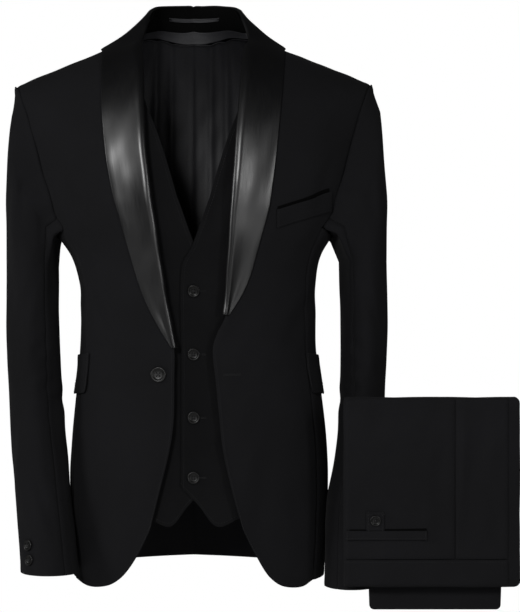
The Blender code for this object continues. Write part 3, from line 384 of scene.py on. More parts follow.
# Half widths on each hand and depths of the jacket's body at each height.
BODY = table(
    "height right left front back",
    (-0.700, 0.154, 0.168, 0.122, 0.130),
    (-0.620, 0.158, 0.1728, 0.123, 0.131),
    (-0.550, 0.160, 0.1745, 0.119, 0.126),
    (-0.500, 0.157, 0.172, 0.115, 0.120),
    (-0.440, 0.151, 0.165, 0.111, 0.112),
    (-0.390, 0.147, 0.159, 0.108, 0.105),
    (-0.340, 0.146, 0.158, 0.109, 0.102),
    (-0.300, 0.149, 0.159, 0.113, 0.105),
    (-0.270, 0.159, 0.165, 0.117, 0.109),
    (-0.240, 0.178, 0.181, 0.120, 0.113),
    (-0.200, 0.191, 0.192, 0.122, 0.117),
)
# How much higher the shoulder on the wearer's left is worn, for each metre out.
LEFT_SHOULDER_RISE = 0.012
# Height of the shoulder line over the body's half width, at the front and at the back.
RIDGE = table(
    "out front back",
    (0.000, 0.020, 0.038),
    (0.045, 0.017, 0.030),
    (0.078, 0.010, 0.010),
    (0.117, -0.005, -0.005),
    (0.157, -0.021, -0.021),
    (0.194, -0.036, -0.036),
    (0.231, -0.052, -0.052),
    (0.270, -0.070, -0.070),
)
print("rows in the body's table:", len(BODY["height"]))

# %% [markdown]
# A table holds few rows, and a smooth curve through them gives the sizes in between. The body's
# section is a rounded rectangle, wide and shallow. Above the chest it closes over the shoulders
# like a dome, along the line that the shoulder seam follows. The form is read for whole arrays
# of points at once, so a fine panel takes no longer than a coarse one.


# %% Reading the form
SECTION_STEPS = 2000
NO_LENGTH = 1e-12


def unit(vectors):
    """The same directions with length one."""
    return vectors / np.maximum(np.linalg.norm(vectors, axis=-1, keepdims=True), NO_LENGTH)


def curve(keys, values, at):
    """A smooth curve through a table's rows, read at one place or at many."""
    keys, values = np.asarray(keys, float), np.asarray(values, float)
    if keys[0] > keys[-1]:
        keys, values = keys[::-1], values[::-1]
    at = np.clip(at, keys[0], keys[-1])
    last = len(keys) - 1
    low = np.maximum(np.arange(last + 1) - 1, 0)
    high = np.minimum(np.arange(last + 1) + 1, last)
    more = (...,) + (None,) * (values.ndim - 1)
    slopes = (values[high] - values[low]) / (keys[high] - keys[low])[more]
    i = np.clip(np.searchsorted(keys, at) - 1, 0, last - 1)
    step = keys[i + 1] - keys[i]
    t = (at - keys[i]) / step
    step, t = step[more], t[more]
    start = (1 + 2 * t) * (1 - t) ** 2 * values[i] + t * (1 - t) ** 2 * step * slopes[i]
    end = t * t * (3 - 2 * t) * values[i + 1] + t * t * (t - 1) * step * slopes[i + 1]
    return start + end


def quarter_round():
    """A quarter of the body's rounded section, spaced evenly along its length."""
    turn = np.linspace(0, math.pi / 2, SECTION_STEPS)
    out = np.sin(turn) ** (2 / ROUNDNESS)
    fore = np.cos(turn) ** (2 / ROUNDNESS)
    steps = np.hypot(np.diff(out * WIDE_TO_DEEP), np.diff(fore))
    length = np.concatenate([[0], np.cumsum(steps)])
    return length / length[-1], out, fore


QUARTER, QUARTER_OUT, QUARTER_FORE = quarter_round()


def side_key(side):
    """Left and right are the wearer's: the right is -1."""
    return "right" if side < 0 else "left"


def half_width(side, w):
    """The body's half width, which spreads a little above the chest."""
    below = curve(BODY["height"], BODY[side_key(side)], CHEST_Z + np.minimum(w, 0))
    return below + SHOULDER_SPREAD * np.maximum(w, 0) / DOME


def q_of(side, out, w, back=False):
    """Where on the section a point so far out from the centre lies."""
    share = np.minimum(np.abs(out) / half_width(side, w), 1)
    q = np.copysign(np.interp(share, QUARTER_OUT, QUARTER), out)
    return np.where(back, 2 - q, q)


def torso(side, q, w, lift=None):
    """Points on the body's form, lifted off it along its outward normals."""
    q, w = np.broadcast_arrays(np.asarray(q, float), np.asarray(w, float))
    if lift is not None:
        below_tip = DOME - TINY
        here = torso(side, q, w)
        across = torso(side, q + PROBE, w) - torso(side, q - PROBE, w)
        upper, lower = np.minimum(w + PROBE, below_tip), np.minimum(w, below_tip) - PROBE
        along = torso(side, q, upper) - torso(side, q, lower)
        return here + unit(np.cross(across, along) * side) * np.asarray(lift)[..., None]
    back = q > 1
    around = np.where(back, 2 - q, q)
    out = half_width(side, w) * np.interp(np.abs(around), QUARTER, QUARTER_OUT) * np.sign(around)
    height = CHEST_Z + np.minimum(w, 0)
    fore = np.interp(np.abs(around), QUARTER, QUARTER_FORE)
    depth = np.where(
        back,
        curve(BODY["height"], BODY["back"], height), curve(BODY["height"], BODY["front"], height),
    ) * fore
    top = np.where(
        back,
        curve(RIDGE["out"], RIDGE["back"], np.abs(out)),
        curve(RIDGE["out"], RIDGE["front"], np.abs(out)),
    )
    top = top + LEFT_SHOULDER_RISE * np.maximum(side * out, 0)
    turn = math.pi / 2 * np.clip(w, 0, DOME) / DOME
    power = np.where(back, BACK_DOME, 1.0)
    depth = depth * np.maximum(np.cos(turn), 0) ** power
    height = height + (top - CHEST_Z) * np.maximum(np.sin(turn), 0) ** power
    return np.stack([side * out, np.where(back, depth, -depth), height], axis=-1)


print("half width at the chest:", round(float(half_width(1, 0.0)), 4), "m")

# %% [markdown]
# A cut panel has four edges. Its grid blends them, so the rows and columns run along the seams
# as the cloth's own threads do. The rows are set close together near every edge, where the
# cloth turns over, and about 4 mm apart in between.


# %% Grids of cloth
EDGE_STEPS = (0.0, 0.0008, 0.0020, 0.0040)
ROW_STEP = 0.0045


def spaced(length, step=ROW_STEP):
    """Places from 0 to 1 along a piece of this length, close together near both ends."""
    near = min(EDGE_STEPS[-1], length / 4)
    close = np.array(EDGE_STEPS[:-1]) * near / EDGE_STEPS[-1]
    count = max(int(round((length - 2 * near) / step)), 2)
    middle = np.linspace(near, length - near, count + 1)
    return np.concatenate([close, middle, length - close[::-1]]) / length


def with_row(places, at):
    """Moves the nearest place onto a corner that must keep its own row."""
    moved = places.copy()
    moved[np.argmin(np.abs(moved - at))] = at
    return moved


def patch(inner, outer, bottom, top, up, across):
    """A grid of (q, w) that blends four edges, each a function of its own 0 to 1 run."""
    v, u = up[:, None, None], across[None, :, None]

    def edge(way, at):
        return np.stack(np.broadcast_arrays(*way(at)), axis=-1)

    left, right = edge(inner, up)[:, None], edge(outer, up)[:, None]
    low, high = edge(bottom, across)[None], edge(top, across)[None]
    flat = (1 - v) * ((1 - u) * low[:, :1] + u * low[:, -1:])
    flat = flat + v * ((1 - u) * high[:, :1] + u * high[:, -1:])
    return (1 - u) * left + u * right + (1 - v) * low + v * high - flat


HALF_A_STEP = 0.5


def pull_edges(points, seams):
    """Draws a grid's first row, last row, first column and last column in, to leave room."""
    points = points.copy()

    def drawn(edge, inner, distance):
        line = inner - edge
        length = np.maximum(np.linalg.norm(line, axis=-1, keepdims=True), NO_LENGTH)
        return edge + line / length * np.minimum(distance, length * HALF_A_STEP)

    points[0] = drawn(points[0], points[1], seams[0])
    points[-1] = drawn(points[-1], points[-2], seams[1])
    points[:, 0] = drawn(points[:, 0], points[:, 1], seams[2])
    points[:, -1] = drawn(points[:, -1], points[:, -2], seams[3])
    return points


def grid_normals(points, ring=False):
    """The way out of a grid at each of its points. A ring's last column meets its first."""
    if ring:
        across = np.roll(points, -1, axis=1) - np.roll(points, 1, axis=1)
    else:
        across = np.gradient(points, axis=1)
    return unit(np.cross(across, np.gradient(points, axis=0)))


def run_along(points, axis):
    """Metres along each row (axis 1) or column (axis 0) from its start."""
    steps = np.linalg.norm(np.diff(points, axis=axis), axis=-1)
    start = np.zeros_like(np.take(steps, [0], axis=axis))
    return np.concatenate([start, np.cumsum(steps, axis=axis)], axis=axis)


print("places along 0.1 m:", len(spaced(0.1)))

# %% [markdown]
# Where two panels are sewn, the cloth dips into the seam over about two millimetres and swells
# a little beside it, because the allowances are pressed open behind it. A free edge is
# turned in, so it is thicker and rounder over the last few millimetres. A crease is a soft
# trough with rounded shoulders that fades out at both ends. Each one is listed with its own
# length, depth and bend, because cloth never folds in an even row.


# %% Seams, edges and creases
SEAM_DIP = 0.0009
SEAM_WIDE = 0.0018
SEAM_SWELL = 0.00035
EDGE_SWELL = 0.00040
SEAM_SWELL_AT, SEAM_SWELL_WIDE = 0.006, 0.0035
EDGE_SWELL_AT, EDGE_SWELL_WIDE = 0.004, 0.0045
SHOULDER_AT, SHOULDER_SHARE = 1.8, 0.40
CREASE_FADE = 1.5
UNEVEN = 0.00030


def edge_relief(points, seams):
    """How far the cloth stands up or dips near each of a grid's four edges."""
    across, along = run_along(points, 1), run_along(points, 0)
    relief = np.zeros(points.shape[:2])
    distances = (along, along[-1:] - along, across, across[:, -1:] - across)
    for distance, seam in zip(distances, seams):
        if seam > 0:
            relief -= SEAM_DIP * np.exp(-((distance / SEAM_WIDE) ** 2))
            relief += SEAM_SWELL * np.exp(-(((distance - SEAM_SWELL_AT) / SEAM_SWELL_WIDE) ** 2))
        elif seam == 0:
            relief += EDGE_SWELL * np.exp(-(((distance - EDGE_SWELL_AT) / EDGE_SWELL_WIDE) ** 2))
    return relief


def creased(across, height, marks):
    """Lift from creases: troughs go in, and a negative depth makes a ridge."""
    lift = np.zeros(across.shape)
    for row in range(len(marks["deep"])):
        at = {name: float(marks[name][row]) for name in marks}
        turn = math.radians(at["turn"])
        dx, dz = across - at["x"], height - at["z"]
        along = (dx * math.sin(turn) + dz * math.cos(turn)) / (at["long"] / 2)
        fade = np.clip(1 - along**2, 0, 1)
        off = dx * math.cos(turn) - dz * math.sin(turn) - at["bend"] * fade
        near = np.exp(-((off / at["wide"]) ** 2))
        shoulders = np.exp(-(((np.abs(off) - SHOULDER_AT * at["wide"]) / at["wide"]) ** 2))
        lift += at["deep"] * fade**CREASE_FADE * (SHOULDER_SHARE * shoulders - near)
    return lift


def unevenness(across, height):
    """The slight waviness of pressed cloth: crossed waves, in radians for each metre."""
    wave = np.sin(across * 93 + 1.7 * np.sin(height * 31)) * np.sin(height * 57 + 0.9)
    wave = wave + 0.6 * np.sin(across * 171 - height * 83 + 2.1)
    return UNEVEN * wave


print("depth of a seam:", SEAM_DIP, "m")

# %% [markdown]
# Every row of a table of creases is one crease: its middle, its turn from the upright in
# degrees, its length, width and depth, and how far it bends. The photograph doesn't show the
# back, so its creases are like those in front, at the waist, the armholes and the hem.

# %% Creases of the body
# On the jacket's fronts: drag lines from the button and towards the armhole.
FRONT_CREASES = table(
    "x z turn long wide deep bend",
    (-0.1020, -0.3950, -72, 0.110, 0.0090, 0.0012, 0.004),
    (-0.0950, -0.4350, -100, 0.120, 0.0100, 0.0013, -0.006),
    (-0.1330, -0.3350, -35, 0.090, 0.0080, 0.0014, 0.005),
    (-0.1660, -0.1900, -18, 0.110, 0.0090, 0.0022, 0.006),
    (-0.1500, -0.2350, -38, 0.100, 0.0090, 0.0015, -0.004),
    (-0.0900, -0.5600, -14, 0.160, 0.0110, 0.0011, 0.008),
    (-0.1210, -0.6000, 8, 0.120, 0.0090, 0.0010, -0.004),
    (0.1730, -0.1800, 18, 0.120, 0.0090, 0.0024, -0.006),
    (0.1560, -0.2400, 40, 0.100, 0.0090, 0.0015, 0.005),
    (0.1410, -0.3500, 30, 0.110, 0.0080, 0.0013, -0.005),
    (0.1000, -0.4200, 80, 0.130, 0.0100, 0.0011, 0.006),
    (0.0940, -0.5700, 12, 0.170, 0.0110, 0.0011, -0.007),
    (0.1290, -0.6050, -9, 0.110, 0.0090, 0.0010, 0.004),
)
BACK_CREASES = table(
    "x z turn long wide deep bend",
    (-0.0520, -0.4100, -66, 0.120, 0.0100, 0.0016, 0.005),
    (0.0580, -0.4240, 63, 0.130, 0.0110, 0.0015, -0.006),
    (-0.0960, -0.2400, -30, 0.140, 0.0100, 0.0019, 0.007),
    (0.1020, -0.2350, 33, 0.150, 0.0100, 0.0018, -0.007),
    (-0.1380, -0.1500, -16, 0.110, 0.0090, 0.0019, 0.005),
    (0.1420, -0.1560, 19, 0.110, 0.0090, 0.0020, -0.005),
    (-0.0420, -0.5650, -7, 0.190, 0.0120, 0.0015, 0.009),
    (0.0620, -0.5800, 9, 0.170, 0.0120, 0.0014, -0.008),
    (0.0060, -0.0700, 92, 0.170, 0.0110, 0.0014, 0.004),
)
WAISTCOAT_CREASES = table(
    "x z turn long wide deep bend",
    (-0.0300, -0.3470, -70, 0.060, 0.0080, 0.0012, 0.003),
    (-0.0270, -0.4080, -96, 0.055, 0.0080, 0.0011, -0.003),
    (0.0280, -0.3620, 74, 0.060, 0.0080, 0.0011, 0.003),
    (0.0250, -0.4350, 101, 0.052, 0.0080, 0.0011, -0.002),
    (-0.0290, -0.4980, -78, 0.060, 0.0090, 0.0012, 0.003),
    (0.0300, -0.5130, 72, 0.060, 0.0090, 0.0012, -0.003),
    (-0.0330, -0.1900, -24, 0.120, 0.0090, 0.0010, 0.003),
    (0.0350, -0.2050, 22, 0.130, 0.0090, 0.0010, -0.003),
)
print("creases on the body:", len(FRONT_CREASES["x"]) + len(BACK_CREASES["x"]))

# %% [markdown]
# One builder turns two grids, the cloth's face and its inside, into a closed shell. A middle
# ring stands out a little between them all round, so each edge is round and not cut square.
# The UV map is the distance along the cloth in metres, so the weave keeps its real scale on
# every panel.


# %% Closed shells of cloth
EDGE_ROUND = 0.0004


def boundary(rows, columns):
    """The grid places round the edge of a grid, in order."""
    first = [(0, j) for j in range(columns - 1)]
    right = [(i, columns - 1) for i in range(rows - 1)]
    last = [(rows - 1, j) for j in range(columns - 1, 0, -1)]
    left = [(i, 0) for i in range(rows - 1, 0, -1)]
    return np.array(first + right + last + left)


def shell(name, face, inside, material):
    """A closed thin shell with rounded edges, its weave mapped in metres."""
    rows, columns = face.shape[:2]
    count = rows * columns
    ring = boundary(rows, columns)
    flat_ring = ring[:, 0] * columns + ring[:, 1]
    inward = np.clip(ring, 1, [rows - 2, columns - 2])
    middle = (face + inside) / 2
    edge_middle = middle[ring[:, 0], ring[:, 1]]
    rim = edge_middle + unit(edge_middle - middle[inward[:, 0], inward[:, 1]]) * EDGE_ROUND
    points = np.concatenate([face.reshape(-1, 3), inside.reshape(-1, 3), rim])
    a = (np.arange(rows - 1)[:, None] * columns + np.arange(columns - 1)).reshape(-1)
    quads = np.stack([a, a + 1, a + 1 + columns, a + columns], axis=1)
    this, following = flat_ring, np.roll(flat_ring, -1)
    rim_this = 2 * count + np.arange(len(ring))
    rim_next = np.roll(rim_this, -1)
    quads = np.concatenate([
        quads,
        quads[:, ::-1] + count,
        np.stack([following, this, rim_this, rim_next], axis=1),
        np.stack([rim_next, rim_this, this + count, following + count], axis=1),
    ])
    # A sheet is turned inside out where its signed volume is negative.
    corners = points[quads]
    triple = np.einsum("ij,ij->i", corners[:, 0], np.cross(corners[:, 1], corners[:, 2]))
    triple = triple + np.einsum("ij,ij->i", corners[:, 0], np.cross(corners[:, 2], corners[:, 3]))
    if triple.sum() < 0:
        quads = quads[:, ::-1]
    mesh = bpy.data.meshes.new(name)
    mesh.from_pydata(points.tolist(), [], quads.tolist())
    sheet_uv = np.stack([run_along(face, 1), run_along(face, 0)], axis=-1).reshape(-1, 2)
    uv = np.concatenate([sheet_uv, sheet_uv, sheet_uv[flat_ring]])
    layer = mesh.uv_layers.new(name="cloth")
    layer.data.foreach_set("uv", uv[quads.reshape(-1)].astype(np.float32).reshape(-1))
    mesh.shade_smooth()
    mesh.materials.append(material)
    return in_scene(name, mesh)


print("edges stand out by", EDGE_ROUND, "m")

# %% [markdown]
# Every piece rides on the suit's one body and names the solid it stands for, which is hidden.
# A sheet's cut size is worked out along its own rows and columns, with no side under 10 mm,
# but it is kept nowhere. A strip narrower than 10 mm is cut wider and turned in at its edges.


# %% Tying the pieces to the body
NARROWEST_CUT = 0.010
MADE = []
FACES = {}


def cut_size(face):
    """The widest row and the longest column of a panel, as it lies flat."""
    return float(run_along(face, 1)[:, -1].max()), float(run_along(face, 0)[-1].max())


def register(made, nodes):
    """Ties a piece to the body and hides the solids that it stands for."""
    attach(made, "root")
    if nodes:
        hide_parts(*nodes)
    MADE.append(made.name)
    return made


def declare(made, flat):
    """Works out a piece's cut size, no side under the narrowest cut, and keeps it nowhere."""
    flat = tuple(max(size, NARROWEST_CUT) for size in flat)
    return made


def sheet(
    node_name, face, inside, material, relief=None, seams=(0, 0, 0, 0),
):
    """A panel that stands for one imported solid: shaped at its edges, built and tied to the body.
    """
    outward = unit(face - inside)
    lift = edge_relief(face, seams)
    if relief is not None:
        lift = lift + relief
    face = pull_edges(face + outward * lift[..., None], seams)
    inside = pull_edges(inside + outward * lift[..., None], seams)
    made = shell(node_name + "_cloth", face, inside, material)
    FACES[node_name] = (face, outward)
    register(made, [node_name])
    return declare(made, cut_size(face))


print("narrowest cut:", NARROWEST_CUT, "m")

# %% [markdown]
# The jacket's body has six panels. Each front runs from the roll line of its lapel to the seam
# under the arm, and its lower corner is cut away in a round. A narrow side panel closes the
# space under the arm, and two back panels meet on the centre seam. The wool is fused and
# pressed, so the panels keep a smooth, firm line with only shallow drag lines.


# %% Edges of the jacket
SEAM_SHARE = 0.905
SHOULDER_HALF = 0.231
NECK_HALF = 0.078
NECK_LOW_W = 0.150
NECK_CURVE = 0.8
UNDERARM_DIP = 0.011
JACKET_BACK_HEM = -0.672
JACKET_SIDE_HEM = -0.680
HEM_SIDE_DROP = 0.003
# How far out the armhole edge lies, from the seam under the arm up to the shoulder tip.
ARMHOLE = table(
    "w front back",
    (-0.036, 0.1655, 0.1655),
    (-0.020, 0.1760, 0.1740),
    (0.000, 0.1810, 0.1770),
    (0.040, 0.1950, 0.1850),
    (0.080, 0.2060, 0.1960),
    (0.130, 0.2180, 0.2110),
    (0.180, 0.2260, 0.2230),
    (0.220, 0.2310, 0.2310),
)
# Inner edges of the jacket's fronts: the roll line of the lapel, then the front edge.
FRONT_EDGE = table(
    "w right left",
    (-0.415, 0.0545, 0.0620),
    (-0.365, 0.0420, 0.0480),
    (-0.315, 0.0300, 0.0370),
    (-0.278, 0.0250, 0.0330),
    (-0.228, 0.0243, 0.0280),
    (-0.190, 0.0243, 0.0245),
    (-0.170, 0.0280, 0.0300),
    (-0.150, 0.0320, 0.0400),
    (-0.128, 0.0360, 0.0430),
    (-0.055, 0.0480, 0.0485),
    (0.000, 0.0570, 0.0530),
    (0.050, 0.0655, 0.0590),
    (0.100, 0.0690, 0.0650),
    (0.160, 0.0730, 0.0720),
    (0.220, 0.0780, 0.0780),
)
# The cutaway: the hem of each front, from its front edge to the side seam.
CUTAWAY = table(
    "run out_right out_left height",
    (0.00, 0.0545, 0.0620, -0.6150),
    (0.22, 0.0690, 0.0770, -0.6450),
    (0.42, 0.0860, 0.0920, -0.6705),
    (0.58, 0.1020, 0.1060, -0.6838),
    (0.72, 0.1180, 0.1200, -0.6890),
    (0.86, 0.1350, 0.1380, -0.6895),
    (1.00, 0.1506, 0.1506, -0.6830),
)
UNDERARM_W = float(ARMHOLE["w"][0])
print("rows on a front's edge:", len(FRONT_EDGE["w"]))

# %% [markdown]
# A few functions turn these sizes into lines on the form, each given as q and w. Most panels
# on the two sides of a seam read the same line.


# %% Seam lines
def side_seam(back=False):
    """The q of the side panel's front or back seam."""
    q = float(np.interp(SEAM_SHARE, QUARTER_OUT, QUARTER))
    return 2 - q if back else q


def front_edge(side, w):
    """How far out the inner edge of a front lies."""
    return curve(FRONT_EDGE["w"], FRONT_EDGE[side_key(side)], w)


def armhole(side, w, back=False):
    """The q of the armhole's edge at each w."""
    return q_of(side, curve(ARMHOLE["w"], ARMHOLE["back" if back else "front"], w), w, back)


def outer_edge(side, bottom_w, back, share):
    """Up the side seam and on round the armhole to the shoulder tip."""
    w = bottom_w + (DOME - bottom_w) * share
    return np.where(w < UNDERARM_W + TINY, side_seam(back), armhole(side, w, back)), w


def underarm(q):
    """How far the side panel's top edge dips between its two seams."""
    share = (q - side_seam()) / (side_seam(True) - side_seam())
    return UNDERARM_W - UNDERARM_DIP * np.sin(math.pi * share)


def neck_w(share):
    """The back neck's seam, from a neck point (0) down to the centre back (1)."""
    return DOME - (DOME - NECK_LOW_W) * np.sin(share * math.pi / 2) ** NECK_CURVE


def hem_w(q):
    """The jacket's hem behind the side seam of the front: it rises a little to the back."""
    share = np.clip((q - side_seam()) / (2 - side_seam()), 0, 1)
    low = JACKET_SIDE_HEM - HEM_SIDE_DROP
    return low + (JACKET_BACK_HEM - low) * share - CHEST_Z


print("side seam at q", round(side_seam(), 3))

# %% [markdown]
# Each panel blends its four edges into a grid. The grid is read on the form, and the creases
# of its place are added. The row and column counts come from the panel's rough size.


# %% Jacket panels
JACKET_LONG = 0.70
JACKET_FRONT_WIDE = 0.20
JACKET_SIDE_SIZE = (0.45, 0.14)
JACKET_BACK_WIDE = 0.22
FRONT_TO_BACK = 0.04


def front_share(y):
    """1 in front of the body's middle and 0 behind it, with a short blend between."""
    return np.clip(0.5 - y / FRONT_TO_BACK, 0, 1)


def body_relief(face):
    """Creases and unevenness by place: one set on the front of the body, one on its back."""
    x, z, front = face[..., 0], face[..., 2], front_share(face[..., 1])
    lift = creased(x, z, FRONT_CREASES) * front + creased(x, z, BACK_CREASES) * (1 - front)
    return lift + unevenness(x, z)


def torso_panel(name, side, grid, seams):
    """One panel of the jacket's body, from its grid of q and w."""
    q, w = grid[..., 0], grid[..., 1]
    face, inside = torso(side, q, w, 0.0 * q), torso(side, q, w, 0.0 * q - WOOL)
    return sheet(
        name + "_" + side_key(side), face, inside, worsted_wool,
        relief=body_relief(face), seams=seams,
    )


def jacket_front(side):
    hem = CUTAWAY["out_" + side_key(side)]
    low = CUTAWAY["height"][0] - CHEST_Z
    side_low = CUTAWAY["height"][-1] - CHEST_Z

    def inner(v):
        w = low + (DOME - low) * v
        return q_of(side, front_edge(side, w), w), w

    def bottom(u):
        w = curve(CUTAWAY["run"], CUTAWAY["height"], u) - CHEST_Z
        return np.where(u == 1, side_seam(), q_of(side, curve(CUTAWAY["run"], hem, u), w)), w

    def top(u):
        return q_of(side, NECK_HALF + (SHOULDER_HALF - NECK_HALF) * u, DOME), DOME

    up = with_row(spaced(JACKET_LONG), (UNDERARM_W - side_low) / (DOME - side_low))
    across = spaced(JACKET_FRONT_WIDE)
    grid = patch(inner, lambda v: outer_edge(side, side_low, False, v), bottom, top, up, across)
    return torso_panel("jacket_front", side, grid, (0, SEAM, 0, SEAM))


def jacket_side(side):
    first, last = side_seam(), side_seam(True)

    def seam(q, v):
        return q, hem_w(q) + (UNDERARM_W - hem_w(q)) * v

    def between(u):
        return first + (last - first) * u

    grid = patch(
        lambda v: seam(first, v),
        lambda v: seam(last, v),
        lambda u: (between(u), hem_w(between(u))),
        lambda u: (between(u), underarm(between(u))),
        spaced(JACKET_SIDE_SIZE[0]), spaced(JACKET_SIDE_SIZE[1]),
    )
    return torso_panel("jacket_side", side, grid, (0, SEAM, SEAM, SEAM))


def jacket_back(side):
    low = hem_w(side_seam(True))

    def centre(v):
        back_low = JACKET_BACK_HEM - CHEST_Z
        return 2.0, back_low + (NECK_LOW_W - back_low) * v

    def bottom(u):
        q = side_seam(True) + (2 - side_seam(True)) * u
        return q, hem_w(q)

    def top(u):
        out = SHOULDER_HALF * (1 - u)
        w = neck_w(np.maximum(1 - out / NECK_HALF, 0))
        return q_of(side, out, w, True), w

    up = with_row(spaced(JACKET_LONG), (UNDERARM_W - low) / (DOME - low))
    across = spaced(JACKET_BACK_WIDE)
    grid = patch(lambda v: outer_edge(side, low, True, v), centre, bottom, top, up, across)
    return torso_panel("jacket_back", side, grid, (0, SEAM, SEAM, SEAM))


for side in (-1, 1):
    jacket_front(side)
    jacket_side(side)
    jacket_back(side)

# %% [markdown]
# A tailored sleeve has two pieces. The wide top sleeve covers the front and the outside, and
# the narrow under sleeve lies against the body. Their seams let the sleeve bend forward at
# the elbow. The head is cut larger than the armhole and eased in over a thin pad, so it stands
# up a little beside the seam.

# %% Sleeve sizes
SLEEVE_HEAD_POWER = (0.85, 0.90)
SLEEVE_HEAD_SWELL = 0.024
SLEEVE_HEAD_SWELL_SHARE = 0.667
SLEEVE_HEAD_REACH_SHARE = 0.125
# Sleeves below the armhole: section centres come from the outer and inner edges.
RIGHT_SLEEVE = table(
    "height outer inner middle depth",
    (-0.285, 0.242, 0.1760, 0.000, 0.064),
    (-0.330, 0.242, 0.1755, 0.000, 0.060),
    (-0.380, 0.242, 0.1735, -0.004, 0.057),
    (-0.430, 0.239, 0.1710, -0.012, 0.055),
    (-0.480, 0.236, 0.1670, -0.024, 0.053),
    (-0.530, 0.232, 0.1615, -0.038, 0.051),
    (-0.580, 0.227, 0.1560, -0.054, 0.050),
    (-0.630, 0.222, 0.1495, -0.070, 0.049),
    (-0.671, 0.218, 0.1445, -0.084, 0.048),
)
LEFT_SLEEVE = table(
    "height outer inner middle depth",
    (-0.278, 0.250, 0.1900, 0.000, 0.064),
    (-0.330, 0.251, 0.1910, 0.000, 0.060),
    (-0.380, 0.251, 0.1910, -0.003, 0.057),
    (-0.430, 0.248, 0.1905, -0.008, 0.055),
    (-0.480, 0.246, 0.1880, -0.018, 0.053),
    (-0.530, 0.243, 0.1825, -0.030, 0.051),
    (-0.580, 0.239, 0.1710, -0.043, 0.050),
    (-0.630, 0.235, 0.1680, -0.056, 0.049),
    (-0.690, 0.231, 0.1665, -0.070, 0.048),
)
# The sleeve head's outline from the shoulder tip down to the first full section.
SLEEVE_HEAD = table(
    "rise right left",
    (-0.052, 0.2310, 0.2390),
    (-0.075, 0.2335, 0.2410),
    (-0.100, 0.2345, 0.2405),
    (-0.150, 0.2400, 0.2440),
    (-0.210, 0.2420, 0.2500),
    (-0.285, 0.2420, 0.2500),
)
print("rows in a sleeve's table:", len(RIGHT_SLEEVE["height"]))

# %% [markdown]
# A sleeve is first one tube of rings. They start on the armhole's own line, swell out over the
# head and end level at the cuff. One more ring is turned in behind the armhole, as the seam
# allowance is on a real sleeve, and closes the seam.


# %% Sleeve form
ARMHOLE_POINTS, UNDERARM_POINTS = 60, 30
HEAD_SHARES = np.concatenate([[0.0, 0.006, 0.014, 0.028], np.linspace(0.05, 1, 28)[:-1]])
SLEEVE_STANDS_OUT = 4 * GAP
ALLOWANCE_LIFT = -(WOOL + 3 * GAP)


def armhole_loop(side, count, lift=0.0):
    """Evenly spaced points round the armhole, from the tip down the front and up the back."""
    down = np.linspace(DOME, UNDERARM_W, ARMHOLE_POINTS)
    up = np.linspace(UNDERARM_W, DOME, ARMHOLE_POINTS)
    under = np.linspace(side_seam(), side_seam(True), UNDERARM_POINTS)[1:-1]
    path = np.concatenate([
        torso(side, armhole(side, down), down, lift),
        torso(side, under, underarm(under), lift),
        torso(side, armhole(side, up, True), up, lift),
    ])
    length = np.concatenate([[0], np.cumsum(np.linalg.norm(np.diff(path, axis=0), axis=1))])
    places = np.linspace(0, length[-1], count, endpoint=False)
    return np.stack([np.interp(places, length, path[:, k]) for k in range(3)], axis=-1)


def sleeve_section(side, sizes, height, count):
    """A level ring of the sleeve at one height, as an oval."""
    outer, inner, middle, depth = (
        curve(sizes["height"], sizes[name], height)
        for name in ("outer", "inner", "middle", "depth")
    )
    turn = 2 * math.pi * np.arange(count) / count
    out = (outer + inner) / 2 + (outer - inner) / 2 * np.cos(turn)
    return np.stack([side * out, middle - depth * np.sin(turn), np.full(count, height)], axis=-1)


def sleeve_rings(side, count):
    """Rings from the armhole, round the sleeve head, and down to the cuff."""
    sizes = RIGHT_SLEEVE if side < 0 else LEFT_SLEEVE
    first, last = float(sizes["height"][0]), float(sizes["height"][-1])
    loop, full = armhole_loop(side, count), sleeve_section(side, sizes, first, count)
    top = (1 + np.cos(2 * math.pi * np.arange(count) / count)) / 2
    power = SLEEVE_HEAD_POWER[0] + (SLEEVE_HEAD_POWER[1] - SLEEVE_HEAD_POWER[0]) * top
    rings = []
    for share in HEAD_SHARES:
        point = loop + (full - loop) * (share**power)[:, None]
        reach = curve(SLEEVE_HEAD["rise"], SLEEVE_HEAD[side_key(side)], point[:, 2])
        swell = 1 + SLEEVE_HEAD_SWELL * math.sin(math.pi * min(share / SLEEVE_HEAD_SWELL_SHARE, 1))
        begun = min(share / SLEEVE_HEAD_REACH_SHARE, 1)
        out = np.abs(point[:, 0]) + top * (reach - np.abs(loop[:, 0])) * (1 - share) * begun
        rings.append(np.stack([side * out, point[:, 1] * swell, point[:, 2]], axis=-1))
    rings[0] = rings[0] + np.array([side * SLEEVE_STANDS_OUT, 0, 0])
    rings.insert(0, armhole_loop(side, count, ALLOWANCE_LIFT))
    near_cuff = last + np.array(EDGE_STEPS)[::-1]
    rows = np.linspace(first, near_cuff[0], int((first - last) / ROW_STEP))
    for height in np.concatenate([rows, near_cuff[1:]]):
        rings.append(sleeve_section(side, sizes, float(height), count))
    return np.array(rings)


print("rings in a sleeve head:", len(HEAD_SHARES))

# %% [markdown]
# Creases are laid on the whole tube, so that they may cross its seams. Cloth gathers softly
# inside the elbow and under the arm. The tube is then cut into the top and the under sleeve.


# %% Sleeve cloth
SLEEVE_ROUND = 120
FRONT_SEAM_POINT = 42
BACK_SEAM_POINT = 84
SLEEVE_HEAD_ROPE = 0.0009
ROPE_AT, ROPE_WIDE = 0.007, 0.005
WRAP = 0.045
